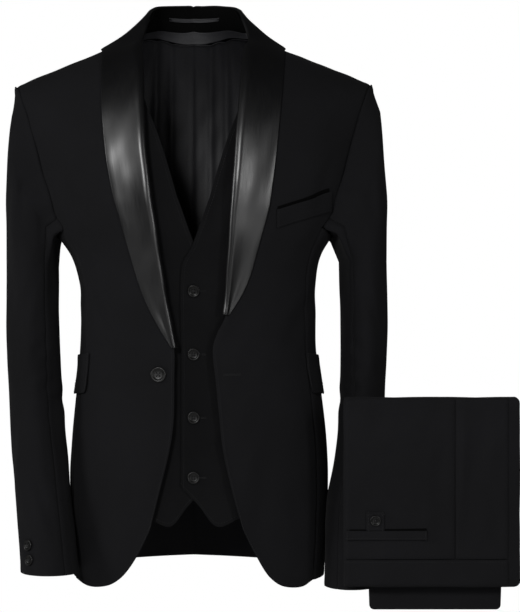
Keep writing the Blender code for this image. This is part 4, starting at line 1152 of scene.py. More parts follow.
# Creases on the sleeves: x is the turn round the sleeve in degrees from its outermost line,
# towards the front.
SLEEVE_CREASES = table(
    "x z turn long wide deep bend",
    (96, -0.4180, 64, 0.075, 0.0085, 0.0020, 0.004),
    (112, -0.4420, 76, 0.080, 0.0080, 0.0024, -0.003),
    (104, -0.4720, 88, 0.070, 0.0085, 0.0018, 0.003),
    (118, -0.3900, 52, 0.070, 0.0080, 0.0016, -0.004),
    (74, -0.3300, 24, 0.130, 0.0095, 0.0016, 0.005),
    (40, -0.2300, 14, 0.140, 0.0100, 0.0014, -0.006),
    (84, -0.1750, 10, 0.110, 0.0090, 0.0018, 0.004),
    (88, -0.5750, -18, 0.120, 0.0090, 0.0013, 0.004),
    (48, -0.6200, -10, 0.090, 0.0095, 0.0011, -0.003),
    (24, -0.5100, 20, 0.130, 0.0100, 0.0013, 0.005),
    (150, -0.4500, 96, 0.060, 0.0080, 0.0019, 0.003),
    (206, -0.4600, 90, 0.080, 0.0090, 0.0016, -0.003),
    (300, -0.4350, -62, 0.090, 0.0095, 0.0017, 0.005),
    (286, -0.2450, -18, 0.130, 0.0090, 0.0018, 0.005),
    (318, -0.5650, 14, 0.120, 0.0095, 0.0014, -0.005),
    (152, -0.2500, 3, 0.230, 0.0170, 0.0034, 0.004),
    (140, -0.4700, -4, 0.190, 0.0150, 0.0026, -0.004),
    (128, -0.1500, 14, 0.120, 0.0120, 0.0024, 0.004),
    (40, -0.3600, -3, 0.300, 0.0160, 0.0022, 0.005),
)


def sleeve(side):
    """Both cut pieces of one sleeve."""
    rings = sleeve_rings(side, SLEEVE_ROUND)
    normals = grid_normals(rings, ring=True)
    if np.dot(normals[-1, 0], [side, 0, 0]) < 0:
        normals = -normals
    angle = 360 * np.arange(SLEEVE_ROUND) / SLEEVE_ROUND
    down = run_along(rings, 0)
    relief = SLEEVE_HEAD_ROPE * np.exp(-(((down - ROPE_AT) / ROPE_WIDE) ** 2))
    marks = dict(SLEEVE_CREASES)
    marks["x"] = np.radians(SLEEVE_CREASES["x"]) * WRAP
    around = np.radians(np.broadcast_to(angle, rings.shape[:2])) * WRAP
    relief = relief + creased(around, rings[..., 2], marks) + unevenness(around, rings[..., 2])
    inside = rings - normals * WOOL
    top = [k % SLEEVE_ROUND for k in range(BACK_SEAM_POINT, FRONT_SEAM_POINT + SLEEVE_ROUND + 1)]
    under = list(range(FRONT_SEAM_POINT, BACK_SEAM_POINT + 1))
    for name, columns in (("top_sleeve", top), ("under_sleeve", under)):
        sheet(
            name + "_" + side_key(side), rings[:, columns], inside[:, columns],
            worsted_wool, relief=relief[:, columns],
            seams=(SEAM, 0, SEAM, SEAM),
        )


sleeve(-1)
sleeve(1)

# %% [markdown]
# The shawl collar is one long band on each side, from the break above the button up the chest,
# over the shoulder and round to the centre back. It has no notch. Its inner edge rolls over
# where the lapel folds out of the front, and that roll is what catches the light along the
# whole inner line.

# %% Collar sizes
# Outer edges of the shawl lapels, from the break point up.
LAPEL_EDGE = table(
    "w right left",
    (-0.190, 0.0262, 0.0260),
    (-0.150, 0.0500, 0.0425),
    (-0.112, 0.0665, 0.0650),
    (-0.060, 0.0820, 0.0810),
    (-0.016, 0.0945, 0.0930),
    (0.028, 0.1070, 0.1015),
    (0.075, 0.1140, 0.1085),
    (0.130, 0.1165, 0.1140),
    (0.180, 0.1165, 0.1165),
)
BREAK_W = {-1: -0.188, 1: -0.146}
# Over the shoulder and round the neck: the fold of the collar, and where its edge rests.
NECK_FALL = table(
    "fold_x fold_y fold_z edge_out edge_q edge_w swell",
    (0.0715, -0.034, 0.010, 0.1175, 0, 0.200, 0.004),
    (0.0630, -0.010, 0.0405, 0.1180, 0, 0.220, -0.001),
    (0.0560, 0.034, 0.0560, 0.1010, 1, 0.175, -0.001),
    (0.0365, 0.064, 0.0620, 0.0680, 1, 0.142, 0.006),
    (0.0000, 0.076, 0.064, 0.0000, 1, 0.128, 0.007),
)
# Share by which the collar leans to the wearer's left.
NECK_LEAN = 0.04
COLLAR_EASE = 0.0005
COLLAR_ROLL = 0.0030
COLLAR_ROLL_SHARE = 0.45
COLLAR_ROLL_TURN = (0.022, 0.018)
COLLAR_ROLL_DROP = 0.0010
COLLAR_FOLD_DROP = 0.0012
COLLAR_TUCK = (0.0036, 0.0060)
COLLAR_CLEAR = 0.0005
COLLAR_ACROSS = (0.0, 0.14, 0.40, 0.70, 1.0)
print("rows on a lapel's edge:", len(LAPEL_EDGE["w"]))

# %% [markdown]
# The band is read from a few control rows, then drawn as a fine surface. On the chest each row
# runs across the lapel. Over the shoulder and round the neck it follows the collar's fall from
# its fold, and is kept clear above the shoulder.


# %% Shawl collar
LAPEL_STATIONS = 14
LAPEL_TOP_W = 0.160
CLEARING_STEPS = 24
COLLAR_STEP = 0.0035


def above_shoulder(side, points, lift):
    """Keeps the collar's points clear above the jacket's shoulder and back."""
    out, back = np.abs(points[..., 0]), points[..., 1] > 0
    low, high = np.zeros(out.shape), np.full(out.shape, DOME)
    for _ in range(CLEARING_STEPS):
        w = (low + high) / 2
        spot = torso(side, q_of(side, out, w, back), w)
        deeper = np.abs(spot[..., 1]) > np.abs(points[..., 1])
        low, high = np.where(deeper, w, low), np.where(deeper, high, w)
    lifted = points.copy()
    lifted[..., 2] = np.maximum(points[..., 2], spot[..., 2] + lift + COLLAR_CLEAR)
    return lifted


def lapel_rows(side, lift):
    """Control rows on the chest, from the break point up: tucked edge, roll, then the face."""
    w = np.linspace(BREAK_W[side], LAPEL_TOP_W, LAPEL_STATIONS)
    inner, outer = front_edge(side, w), curve(LAPEL_EDGE["w"], LAPEL_EDGE[side_key(side)], w)
    fold_q = q_of(side, inner, w)
    columns = [
        torso(side, fold_q - COLLAR_ROLL_TURN[1], w, 0 * w - WOOL - COLLAR_EASE),
        torso(side, fold_q - COLLAR_ROLL_TURN[0], w, 0 * w + lift - COLLAR_ROLL_DROP),
    ]
    for share in COLLAR_ACROSS:
        raised = lift + COLLAR_ROLL * max(1 - share / COLLAR_ROLL_SHARE, 0)
        q = q_of(side, inner + (outer - inner) * share, w)
        columns.append(torso(side, q, w, 0 * w + raised))
    return np.stack(columns, axis=1)


def neck_rows(side, lift):
    """Control rows over the shoulder and round the neck, where the collar falls over its fold."""
    rows = []
    for i in range(len(NECK_FALL["fold_x"])):
        size = {name: float(NECK_FALL[name][i]) for name in NECK_FALL}
        fold_x = size["fold_x"] * (side + NECK_LEAN)
        fold = np.array([fold_x, size["fold_y"], size["fold_z"]])
        w = size["edge_w"]
        edge = torso(side, q_of(side, size["edge_out"], w, size["edge_q"] == 1), w, lift)
        outward = (edge - fold) * np.array([1, 1, 0])
        outward = outward / np.linalg.norm(outward)
        middle = (fold + edge) / 2 + outward * size["swell"] + np.array([0, 0, size["swell"]])
        row = [
            fold - outward * COLLAR_TUCK[0] - np.array([0, 0, COLLAR_TUCK[1]]),
            fold - outward * COLLAR_ROLL - np.array([0, 0, COLLAR_FOLD_DROP]),
        ]
        for share in COLLAR_ACROSS:
            row.append((1 - share) ** 2 * fold + 2 * share * (1 - share) * middle + share**2 * edge)
        rows.append(row)
    return np.array(rows)


def shawl(side):
    """One half of the shawl collar."""
    lift = GAP + SATIN + COLLAR_EASE
    control = np.concatenate([lapel_rows(side, lift), neck_rows(side, lift)])
    row_keys = run_along(control, 0)[:, 3]
    column_keys = run_along(control, 1).mean(axis=0)
    up = spaced(row_keys[-1]) * row_keys[-1]
    across = spaced(column_keys[-1], COLLAR_STEP) * column_keys[-1]
    face = curve(row_keys, control, up)
    face = curve(column_keys, face.swapaxes(0, 1), across).swapaxes(0, 1)
    neck, free = up > row_keys[LAPEL_STATIONS - 1], across > column_keys[2]
    block = np.ix_(neck, free)
    face[block] = above_shoulder(side, face[block], lift)
    outward = grid_normals(face) * side
    return sheet(
        "shawl_collar_" + side_key(side), face, face - outward * SATIN,
        satin_facing,
        relief=body_relief(face), seams=(0, SEAM, 0, 0),
    )


shawl(-1)
shawl(1)

# %% [markdown]
# Inside the neck the collar stands on a band of melton, a felted wool that is duller than the
# jacket's. Its tone is set nearly black, far darker than the jacket's wool. A narrow loop is sewn
# to it at both ends, so that the jacket can hang from a hook.


# %% Collar stand and hanger loop
STAND_NARROW = 0.985
STAND_RAISE = 0.0014
STAND_INSET = 0.0064
STAND_DROP = 0.0020
HANGER_TURN = 0.36
HANGER_SHARES = (0.56, 0.66)
HANGER_SLACK = 0.0012
HANGER_CROWN = 0.0011
HANGER_COLUMNS = 5
NARROW_STEP = 0.004
FINE_STEP = 0.003


def both_sides(turn, form):
    """Reads a form on the wearer's left where the turn is positive, and else on the right."""
    return np.where((turn >= 0)[..., None], form(1), form(-1))


def stand_point(turn, share):
    """On the collar stand, which rises from the neck seam to just under the collar's fold."""
    turn, share = np.broadcast_arrays(turn, share)
    low_turn = turn * STAND_NARROW
    w = neck_w(1 - np.abs(low_turn))

    def seam(side):
        return torso(side, q_of(side, NECK_HALF * np.abs(low_turn), w, True), w)

    base = both_sides(turn, seam) + np.array([0, 0, STAND_RAISE])
    last = len(NECK_FALL["fold_x"]) - 1
    at = last - np.abs(turn) * (last - 1)
    names = ("fold_x", "fold_y", "fold_z")
    top = np.stack([curve(np.arange(last + 1), NECK_FALL[name], at) for name in names], axis=-1)
    top[..., 0] *= np.where(turn >= 0, 1, -1) + NECK_LEAN
    inward = unit(top * np.array([-1, -1, 0]))
    top = top + inward * STAND_INSET - np.array([0, 0, STAND_DROP])
    return base + (top - base) * share[..., None]


def backed(face, thickness, toward):
    """The inner points of a wall: the face moved by its thickness, to the side of a point."""
    normals = grid_normals(face)
    if np.dot(normals.mean(axis=(0, 1)), np.array(toward) - face.mean(axis=(0, 1))) < 0:
        normals = -normals
    return face + normals * thickness


stand_turns = (1 - 2 * spaced(0.19, NARROW_STEP))[:, None]
stand_face = stand_point(stand_turns, spaced(0.04, NARROW_STEP)[None, :])
sheet(
    "collar_stand", stand_face, backed(stand_face, WOOL, (0, 0, 0.03)), collar_melton,
)

loop_turns = (HANGER_TURN * (2 * spaced(0.075, FINE_STEP) - 1))[:, None]
loop_across = np.linspace(0, 1, HANGER_COLUMNS)[None, :]
loop_shares = HANGER_SHARES[0] + (HANGER_SHARES[1] - HANGER_SHARES[0]) * loop_across
loop_face = stand_point(loop_turns, loop_shares)
loop_slack = HANGER_SLACK * (1 - (loop_turns / HANGER_TURN) ** 2)
loop_face = loop_face - np.stack([0 * loop_slack, WOOL + 4 * GAP + loop_slack, loop_slack], axis=-1)
sheet(
    "hanger_loop", loop_face, backed(loop_face, LINING, (0, -1, 0.04)), twill_lining,
    relief=HANGER_CROWN * np.sin(math.pi * loop_across) + 0 * loop_turns,
)

# %% [markdown]
# The chest pocket has a slanting welt: a folded strip sewn on below the mouth, which stands a
# little open. The shadow in the mouth is painted: a near-black strip on the cloth, run in behind
# it.

# %% Chest pocket
WELT_OUT = 0.1040
WELT_WIDTH = 0.0700
WELT_HEIGHT = 0.0225
WELT_LOW_W = -0.0375
WELT_SLANT = 0.0230
# Painted shadow: a near-black cloth for thin strips laid where the pocket mouths lie in shade.
pocket_shadow_paint = grained(
    "painted_pocket_shadow", "030303", "070707", 900.0, Roughness=0.9, Specular_IOR_Level=0.05,
)
WELT_GRID = (spaced(WELT_HEIGHT, FINE_STEP), spaced(0.075, NARROW_STEP))
WELT_OPEN = 0.0012
MOUTH_INSET = 0.02
MOUTH_STEP = 0.002
MOUTH_SHOWS = 0.0035
MOUTH_HIDDEN = 0.0070
MOUTH_LIFT = 0.00026
MOUTH_THICK = 0.00020


def welt_place(rise, share):
    """A place on the chest, by its height above the welt's lower edge and its share across."""
    out = WELT_OUT + WELT_WIDTH * share
    w = WELT_LOW_W + WELT_SLANT * share + rise
    return q_of(1, out, w), w


rise, share = np.meshgrid(WELT_GRID[0] * WELT_HEIGHT, WELT_GRID[1], indexing="ij")
welt_q, welt_w = welt_place(rise, share)
welt_open = WELT_OPEN * (rise / WELT_HEIGHT) ** 2 * np.sin(math.pi * share)
welt_face = torso(1, welt_q, welt_w, WOOL + GAP + welt_open)
sheet(
    "chest_welt", welt_face, torso(1, welt_q, welt_w, GAP + welt_open), worsted_wool,
    relief=body_relief(welt_face),
)
rise, share = np.meshgrid(
    WELT_HEIGHT - MOUTH_HIDDEN
    + (MOUTH_HIDDEN + MOUTH_SHOWS) * spaced(MOUTH_HIDDEN + MOUTH_SHOWS, MOUTH_STEP),
    MOUTH_INSET + (1 - 2 * MOUTH_INSET) * WELT_GRID[1], indexing="ij",
)
mouth_q, mouth_w = welt_place(rise, share)
mouth_face = torso(1, mouth_q, mouth_w, 0 * rise + MOUTH_LIFT)
mouth_relief = body_relief(mouth_face)[..., None]
mouth_back = torso(1, mouth_q, mouth_w, 0 * rise + MOUTH_LIFT - MOUTH_THICK)
mouth_out = (mouth_face - mouth_back) / MOUTH_THICK
# The chest pocket's mouth strip is painted shadow.
chest_shadow_strip = shell(
    "chest_pocket_painted_shadow", mouth_face + mouth_out * mouth_relief,
    mouth_back + mouth_out * mouth_relief, pocket_shadow_paint,
)
register(chest_shadow_strip, [])
declare(chest_shadow_strip, cut_size(mouth_face))

# %% [markdown]
# The hip pockets have flaps with rounded corners. They hang from the pocket mouths, round from
# the fronts on to the side panels.


# %% Hip flaps
FLAP_START_Q = 0.70
FLAP_END_Q = 1.04
FLAP_TOP_W = -0.196
FLAP_SLANT = 0.004
FLAP_HEIGHT = 0.050
FLAP_CORNER = 0.012
FLAP_CORNER_SHARE = 0.14
FLAP_EASE = 0.0005
FLAP_LIFT = 0.0008


def hip_flap(side):
    """A flap that stands off the cloth a little more towards its lower edge."""
    down = spaced(FLAP_HEIGHT, NARROW_STEP)[:, None]
    share = spaced(0.10, NARROW_STEP)[None, :]
    corner = np.maximum(np.abs(2 * share - 1) - 1 + FLAP_CORNER_SHARE, 0) / FLAP_CORNER_SHARE
    drop = FLAP_HEIGHT - FLAP_CORNER * corner**2
    q = FLAP_START_Q + (FLAP_END_Q - FLAP_START_Q) * share + 0 * down
    w = FLAP_TOP_W - FLAP_SLANT * share - drop * (1 - down)
    lift = WOOL + GAP + FLAP_EASE + FLAP_LIFT * (1 - down) ** 2
    face = torso(side, q, w, lift + 0 * q)
    inside = torso(side, q, w, lift - WOOL + 0 * q)
    return sheet(
        "hip_flap_" + side_key(side), face, inside, worsted_wool,
        relief=body_relief(face),
    )


hip_flap(-1)
hip_flap(1)

# %% [markdown]
# The waistcoat takes its shape from the same form. It lies 7.5 mm inside the jacket, and its
# fronts up to 8 mm deeper still. The two fronts are wool, lap down the centre and end in points.

# %% Waistcoat sizes
WAISTCOAT_LIFT = -0.0075
WAISTCOAT_SHOULDER_LIFT = -0.0021
WAISTCOAT_SHOULDER_W = 0.170
WAISTCOAT_NECK_HALF = 0.0735
WAISTCOAT_NECK_LOW_W = 0.152
WAISTCOAT_BAND_RISE = (0.0165, 0.0065)
WAISTCOAT_BAND_LEAN = 0.003
WAISTCOAT_LAP_WIDTH = 0.35
WAISTCOAT_LAP_FADE = 0.04
WAISTCOAT_LAP_FLAT = 1.6
WAISTCOAT_OVERLAP = 0.0028
# The open jacket stands further off the waistcoat in front, up to the chest.
WAISTCOAT_SETBACK = 0.0080
WAISTCOAT_SETBACK_Q = 0.80
WAISTCOAT_SETBACK_W = (0.020, 0.150)
WAISTCOAT_SIDE_HEM = -0.575
WAISTCOAT_BACK_HEM = -0.560
# Waistcoat fronts: the V neck and the buttoning edge, which passes the centre line.
WAISTCOAT_EDGE = table(
    "w out",
    (-0.362, -0.0156),
    (-0.200, -0.0156),
    (-0.087, -0.0150),
    (-0.062, -0.0020),
    (0.000, 0.0208),
    (0.050, 0.0430),
    (0.095, 0.0645),
    (0.150, 0.0710),
    (0.220, 0.0735),
)
WAISTCOAT_HEM = table(
    "run out height",
    (0.00, -0.0156, -0.5620),
    (0.14, 0.0070, -0.5850),
    (0.28, 0.0295, -0.6110),
    (0.46, 0.0600, -0.6010),
    (0.74, 0.1100, -0.5860),
    (1.00, 0.1615, -0.5750),
)
WAISTCOAT_ARMHOLE = table(
    "w front back",
    (-0.065, 1.000, 1.000),
    (-0.045, 0.900, 1.080),
    (-0.010, 0.790, 1.180),
    (0.040, 0.690, 1.270),
    (0.100, 0.590, 1.380),
    (0.160, 0.510, 1.480),
    (0.220, 0.475, 1.525),
)
LINING_FOLDS = table(
    "across deep wide",
    (-0.052, 0.0030, 0.0050),
    (-0.030, 0.0020, 0.0040),
    (0.024, 0.0022, 0.0045),
    (0.046, 0.0030, 0.0055),
)

LINING_FOLDS_START_Q = 1.5
LINING_FOLDS_LOW_W = -0.22
LINING_FOLDS_FADE = 0.10
WAISTCOAT_SIDE_W = WAISTCOAT_SIDE_HEM - CHEST_Z
WAISTCOAT_UNDER_W = float(WAISTCOAT_ARMHOLE["w"][0])
print("rows on the waistcoat's V:", len(WAISTCOAT_EDGE["w"]))

# %% [markdown]
# Both fronts are one patch of the form each. The wearer's left front stands out by its overlap
# near the centre, where it laps over the other.


# %% Waistcoat fronts
WAISTCOAT_LONG, WAISTCOAT_FRONT_WIDE = 0.62, 0.18
WAVE_STRETCH, WAVE_SHIFT = (1.3, 1.2), 0.4


def waistcoat_lift(w):
    """How far the waistcoat lies inside the jacket: the jacket rests on its shoulders."""
    near = np.clip((w - WAISTCOAT_SHOULDER_W) / (DOME - WAISTCOAT_SHOULDER_W), 0, 1)
    return WAISTCOAT_LIFT + (WAISTCOAT_SHOULDER_LIFT - WAISTCOAT_LIFT) * near


def waistcoat_setback(q, w):
    """How much deeper a waistcoat front lies, most at the centre and none at the side seam."""
    start, end = WAISTCOAT_SETBACK_W
    across = np.cos(math.pi / 2 * np.minimum(np.abs(q) / WAISTCOAT_SETBACK_Q, 1)) ** 2
    up = np.cos(math.pi / 2 * np.clip((w - start) / (end - start), 0, 1)) ** 2
    return WAISTCOAT_SETBACK * across * up


def waistcoat_outer(share, part):
    """Up a panel's side seam and on round the armhole to the shoulder."""
    w = WAISTCOAT_SIDE_W + (DOME - WAISTCOAT_SIDE_W) * share
    hole = curve(WAISTCOAT_ARMHOLE["w"], WAISTCOAT_ARMHOLE[part], w)
    return np.where(w < WAISTCOAT_UNDER_W + TINY, 1.0, hole), w


def waistcoat_rows(length):
    """Rows up a panel, one of them on the corner under the arm."""
    corner = (WAISTCOAT_UNDER_W - WAISTCOAT_SIDE_W) / (DOME - WAISTCOAT_SIDE_W)
    return with_row(spaced(length), corner)


def waistcoat_panel(name, side, grid, thickness, finish, seams, raised):
    """One panel of the waistcoat, raised off its own layer where the function says so."""
    q, w = grid[..., 0], grid[..., 1]
    lift = waistcoat_lift(w) + raised(q, w)
    face, inside = torso(side, q, w, lift), torso(side, q, w, lift - thickness)
    x, z = face[..., 0], face[..., 2]
    relief = creased(x, z, WAISTCOAT_CREASES) * front_share(face[..., 1])
    relief = relief + unevenness(x * WAVE_STRETCH[0] + WAVE_SHIFT, z * WAVE_STRETCH[1])
    return sheet(
        name + "_" + side_key(side), face, inside, finish, relief=relief, seams=seams,
    )


def waistcoat_front(side):
    """The wearer's left front laps over the other down the centre."""
    low = WAISTCOAT_HEM["height"][0] - CHEST_Z

    def inner(v):
        w = low + (DOME - low) * v
        return q_of(side, curve(WAISTCOAT_EDGE["w"], WAISTCOAT_EDGE["out"], w), w), w

    def outer(v):
        return waistcoat_outer(v, "front")

    def bottom(u):
        w = curve(WAISTCOAT_HEM["run"], WAISTCOAT_HEM["height"], u) - CHEST_Z
        out = curve(WAISTCOAT_HEM["run"], WAISTCOAT_HEM["out"], u)
        return np.where(u == 1, 1.0, q_of(side, out, w)), w

    def top(u):
        start, end = inner(1)[0], outer(1)[0]
        return start + (end - start) * u, DOME

    def raised(q, w):
        near = np.clip(1 - np.maximum(q, 0) / WAISTCOAT_LAP_WIDTH, 0, 1)
        near = near * np.clip(-w / WAISTCOAT_LAP_FADE, 0, 1)
        overlap = WAISTCOAT_OVERLAP * np.minimum(near * WAISTCOAT_LAP_FLAT, 1) * (side > 0)
        return overlap - waistcoat_setback(q, w)

    up, across = waistcoat_rows(WAISTCOAT_LONG), spaced(WAISTCOAT_FRONT_WIDE)
    grid = patch(inner, outer, bottom, top, up, across)
    seams = (0, SEAM, 0, SEAM)
    # The fronts take the darker copy of the wool, which is painted shade.
    return waistcoat_panel(
        "waistcoat_front", side, grid, WOOL, waistcoat_wool_painted_shade, seams, raised
    )


print("the fronts lap by", WAISTCOAT_OVERLAP, "m")

# %% [markdown]
# The back is one layer of lining, so it shows soft upright folds where it hangs from the neck.
# A narrow band of the same twill finishes its neck.


# %% Waistcoat back and neckband
WAISTCOAT_BACK_SIZE = (0.60, 0.20)
RIPPLE_STEP = 0.0028
BAND_SIZE = (0.15, 0.016)


def lining_ripple(side, q, w):
    """Upright folds in the waistcoat's back lining, strongest under the neck."""
    x = torso(side, q, w)[..., 0]
    rise = np.zeros(x.shape)
    for across, deep, wide in zip(*(LINING_FOLDS[name] for name in ("across", "deep", "wide"))):
        rise -= deep * np.exp(-(((x - across) / wide) ** 2))
    fade = np.clip((w - LINING_FOLDS_LOW_W) / LINING_FOLDS_FADE, 0, 1)
    return np.where(q < LINING_FOLDS_START_Q, 0, rise * fade)


def waistcoat_neck_w(share):
    """The waistcoat's back neck, from a neck point (0) down to the centre back (1)."""
    return DOME - (DOME - WAISTCOAT_NECK_LOW_W) * np.sin(share * math.pi / 2) ** NECK_CURVE


def waistcoat_back(side):
    """One half of the back: its top edge runs along the shoulder, then down the neck."""
    low = WAISTCOAT_BACK_HEM - CHEST_Z

    def outer(v):
        return waistcoat_outer(v, "back")

    def centre(v):
        return 2.0, low + (WAISTCOAT_NECK_LOW_W - low) * v

    def bottom(u):
        return 1 + u, WAISTCOAT_SIDE_W + (low - WAISTCOAT_SIDE_W) * u

    def top(u):
        start, end = outer(1)[0], q_of(side, WAISTCOAT_NECK_HALF, DOME, True)
        inside = np.maximum(2 * u - 1, 0)
        w = waistcoat_neck_w(inside)
        neck = q_of(side, WAISTCOAT_NECK_HALF * (1 - inside), w, True)
        return np.where(u < 0.5, start + (end - start) * u * 2, neck), w

    up = waistcoat_rows(WAISTCOAT_BACK_SIZE[0])
    across = with_row(spaced(WAISTCOAT_BACK_SIZE[1], RIPPLE_STEP), 0.5)
    grid = patch(outer, centre, bottom, top, up, across)

    def ripple(q, w):
        return lining_ripple(side, q, w)

    seams = (0, SEAM, SEAM, SEAM)
    return waistcoat_panel(
        "waistcoat_back", side, grid, LINING, twill_lining, seams, ripple
    )


for side in (-1, 1):
    waistcoat_front(side)
    waistcoat_back(side)

band_turns = (1 - 2 * spaced(BAND_SIZE[0], NARROW_STEP))[:, None]
band_w = waistcoat_neck_w(1 - np.abs(band_turns))


def band_base(side):
    """The seam at the foot of the neckband."""
    out = WAISTCOAT_NECK_HALF * np.abs(band_turns) * STAND_NARROW
    return torso(side, q_of(side, out, band_w, True), band_w, waistcoat_lift(band_w))


band_low = both_sides(band_turns, band_base) + np.array([0, 0, GAP])
band_lean = unit(band_low * np.array([-1, -1, 0])) * WAISTCOAT_BAND_LEAN
band_rise = np.interp(np.abs(band_turns), (0, 1), WAISTCOAT_BAND_RISE)
band_up = band_lean + np.stack([0 * band_rise, 0 * band_rise, band_rise], axis=-1)
band_face = band_low + band_up * spaced(BAND_SIZE[1], FINE_STEP)[None, :, None]
sheet(
    "waistcoat_neckband", band_face, backed(band_face, WOOL, (0, 0, 0.02)), twill_lining,
)

# %% [markdown]
# The trousers are folded in four, with the seat side in front and the waist at the bottom.
# Behind the panels that show, the legs lie in three layers, and each layer is several plies
# of cloth. The plies never end in one line, so their folds show as uneven rounded edges. A
# folded piece is a closed body through rings, one behind the other.


# %% Folded cloth
CORNER_POINTS = 7
SIDE_POINTS = 14
FOLD_DRIFT = 0.0005
FOLD_SHARP = math.radians(60)


def rounded_outline(left, right, top, bottom, corner):
    """Points round a soft-cornered rectangle, several on each side and corner."""
    centres = (
        (right - corner, top - corner), (left + corner, top - corner),
        (left + corner, bottom + corner), (right - corner, bottom + corner),
    )
    points = []
    for index, (x, z) in enumerate(centres):
        turn = math.pi / 2 * (index + np.linspace(0, 1, CORNER_POINTS))
        arc = np.stack([x + corner * np.cos(turn), z + corner * np.sin(turn)], axis=-1)
        following = np.array(centres[(index + 1) % 4])
        start = arc[-1]
        reach = following + corner * np.array([math.cos(turn[-1]), math.sin(turn[-1])])
        run = np.linspace(0, 1, SIDE_POINTS)[1:-1, None]
        points.extend([arc, start + (reach - start) * run])
    return np.concatenate(points)


def wavy(outline, layer):
    """A folded edge is never ruled straight: it drifts by half a millimetre."""
    drift = FOLD_DRIFT * np.sin(outline[:, 0] * 61 + outline[:, 1] * 47 + layer * 2.3)
    outward = unit(outline - outline.mean(axis=0))
    return outline + outward * (drift - FOLD_DRIFT)[:, None]


def loft(name, rings, material):
    """A closed body through rings of points, capped at both ends, mapped in metres."""
    rings = np.array(rings)
    count, size = rings.shape[:2]
    mesh = bpy.data.meshes.new(name)
    faces = []
    for i in range(count - 1):
        for j in range(size):
            a, b = i * size + j, i * size + (j + 1) % size
            faces.append((a, b, b + size, a + size))
    faces.append(tuple(reversed(range(size))))
    faces.append(tuple((count - 1) * size + j for j in range(size)))
    mesh.from_pydata(rings.reshape(-1, 3).tolist(), [], faces)
    solid = bmesh.new()
    solid.from_mesh(mesh)
    bmesh.ops.recalc_face_normals(solid, faces=solid.faces)
    solid.to_mesh(mesh)
    solid.free()
    layer = mesh.uv_layers.new(name="cloth")
    for loop in mesh.loops:
        place = mesh.vertices[loop.vertex_index].co
        layer.data[loop.index].uv = (place.x + place.y, place.z + place.y)
    mesh.shade_smooth()
    mesh.set_sharp_from_angle(angle=FOLD_SHARP)
    mesh.materials.append(material)
    return in_scene(name, mesh)


def folded_piece(name, rings, nodes, flat):
    """A lofted stack of plies, tied to the body as one piece."""
    made = loft(name, rings, worsted_wool)
    register(made, nodes)
    return declare(made, flat)


print("points on a folded edge:", 4 * (CORNER_POINTS + SIDE_POINTS - 2))

# %% [markdown]
# The block of layers lies just in front of the jacket's left cuff. Each ply has its own small
# shortfall at each of its four edges. All plies have the same rounded section.

# %% Folded layers
TROUSERS_LEFT = 0.1860
TROUSERS_WIDTH = 0.2195
TROUSERS_TOP = -0.4480
TROUSERS_HEIGHT = 0.2365
LAYER_THICK = 0.0085
LAYER_CORNER = 0.006
PLIES = table(
    "left right top bottom",
    (0.0000, 0.0008, 0.0004, 0.0006),
    (0.0014, 0.0000, 0.0018, 0.0020),
    (0.0004, 0.0016, 0.0000, 0.0000),
    (0.0018, 0.0004, 0.0022, 0.0014),
    (0.0002, 0.0000, 0.0010, 0.0006),
    (0.0012, 0.0020, 0.0004, 0.0022),
    (0.0020, 0.0008, 0.0016, 0.0000),
    (0.0006, 0.0000, 0.0006, 0.0012),
    (0.0010, 0.0014, 0.0020, 0.0004),
)
PLY_SECTION = table(
    "share inset",
    (0.03, 0.00150),
    (0.14, 0.00060),
    (0.32, 0.00012),
    (0.50, 0.00000),
    (0.68, 0.00012),
    (0.86, 0.00060),
    (0.97, 0.00150),
)
LAYERS = 3
PLIES_A_LAYER = 3
BLOCK_EDGE_RISE = 0.0032
FOLD_EASE = 1.05


sleeve_low = TROUSERS_TOP - TROUSERS_HEIGHT + BLOCK_EDGE_RISE
SLEEVE_FRONT_Y = float(sleeve_section(1, LEFT_SLEEVE, sleeve_low, 20)[:, 1].min())
BACK_Y = SLEEVE_FRONT_Y - GAP
BLOCK_Y = BACK_Y - LAYERS * LAYER_THICK
TROUSERS_RIGHT = TROUSERS_LEFT + TROUSERS_WIDTH
TROUSERS_BOTTOM = TROUSERS_TOP - TROUSERS_HEIGHT
ply_thick = LAYER_THICK / PLIES_A_LAYER

for layer in range(LAYERS):
    rings = []
    for ply in range(PLIES_A_LAYER):
        number = layer * PLIES_A_LAYER + ply
        uneven = {name: float(PLIES[name][number]) for name in PLIES}
        for share, inset in zip(PLY_SECTION["share"], PLY_SECTION["inset"]):
            outline = rounded_outline(
                TROUSERS_LEFT + uneven["left"] + inset, TROUSERS_RIGHT - uneven["right"] - inset,
                TROUSERS_TOP - uneven["top"] - inset, TROUSERS_BOTTOM + uneven["bottom"] + inset,
                LAYER_CORNER - inset,
            )
            y = BLOCK_Y + LAYER_THICK * layer + ply_thick * (ply + share)
            x, z = wavy(outline, number).T
            rings.append(np.stack([x, np.full(len(x), y), z], axis=-1))
    folded_piece(
        "folded_layer_" + str(layer + 1), rings, ["trousers_folded_legs"],
        (TROUSERS_WIDTH, TROUSERS_HEIGHT * FOLD_EASE),
    )

# %% [markdown]
# The leg ends hang out below the block, under the waistband. Two legs lie on each other, so
# their section has a groove in the middle, and they widen upwards.

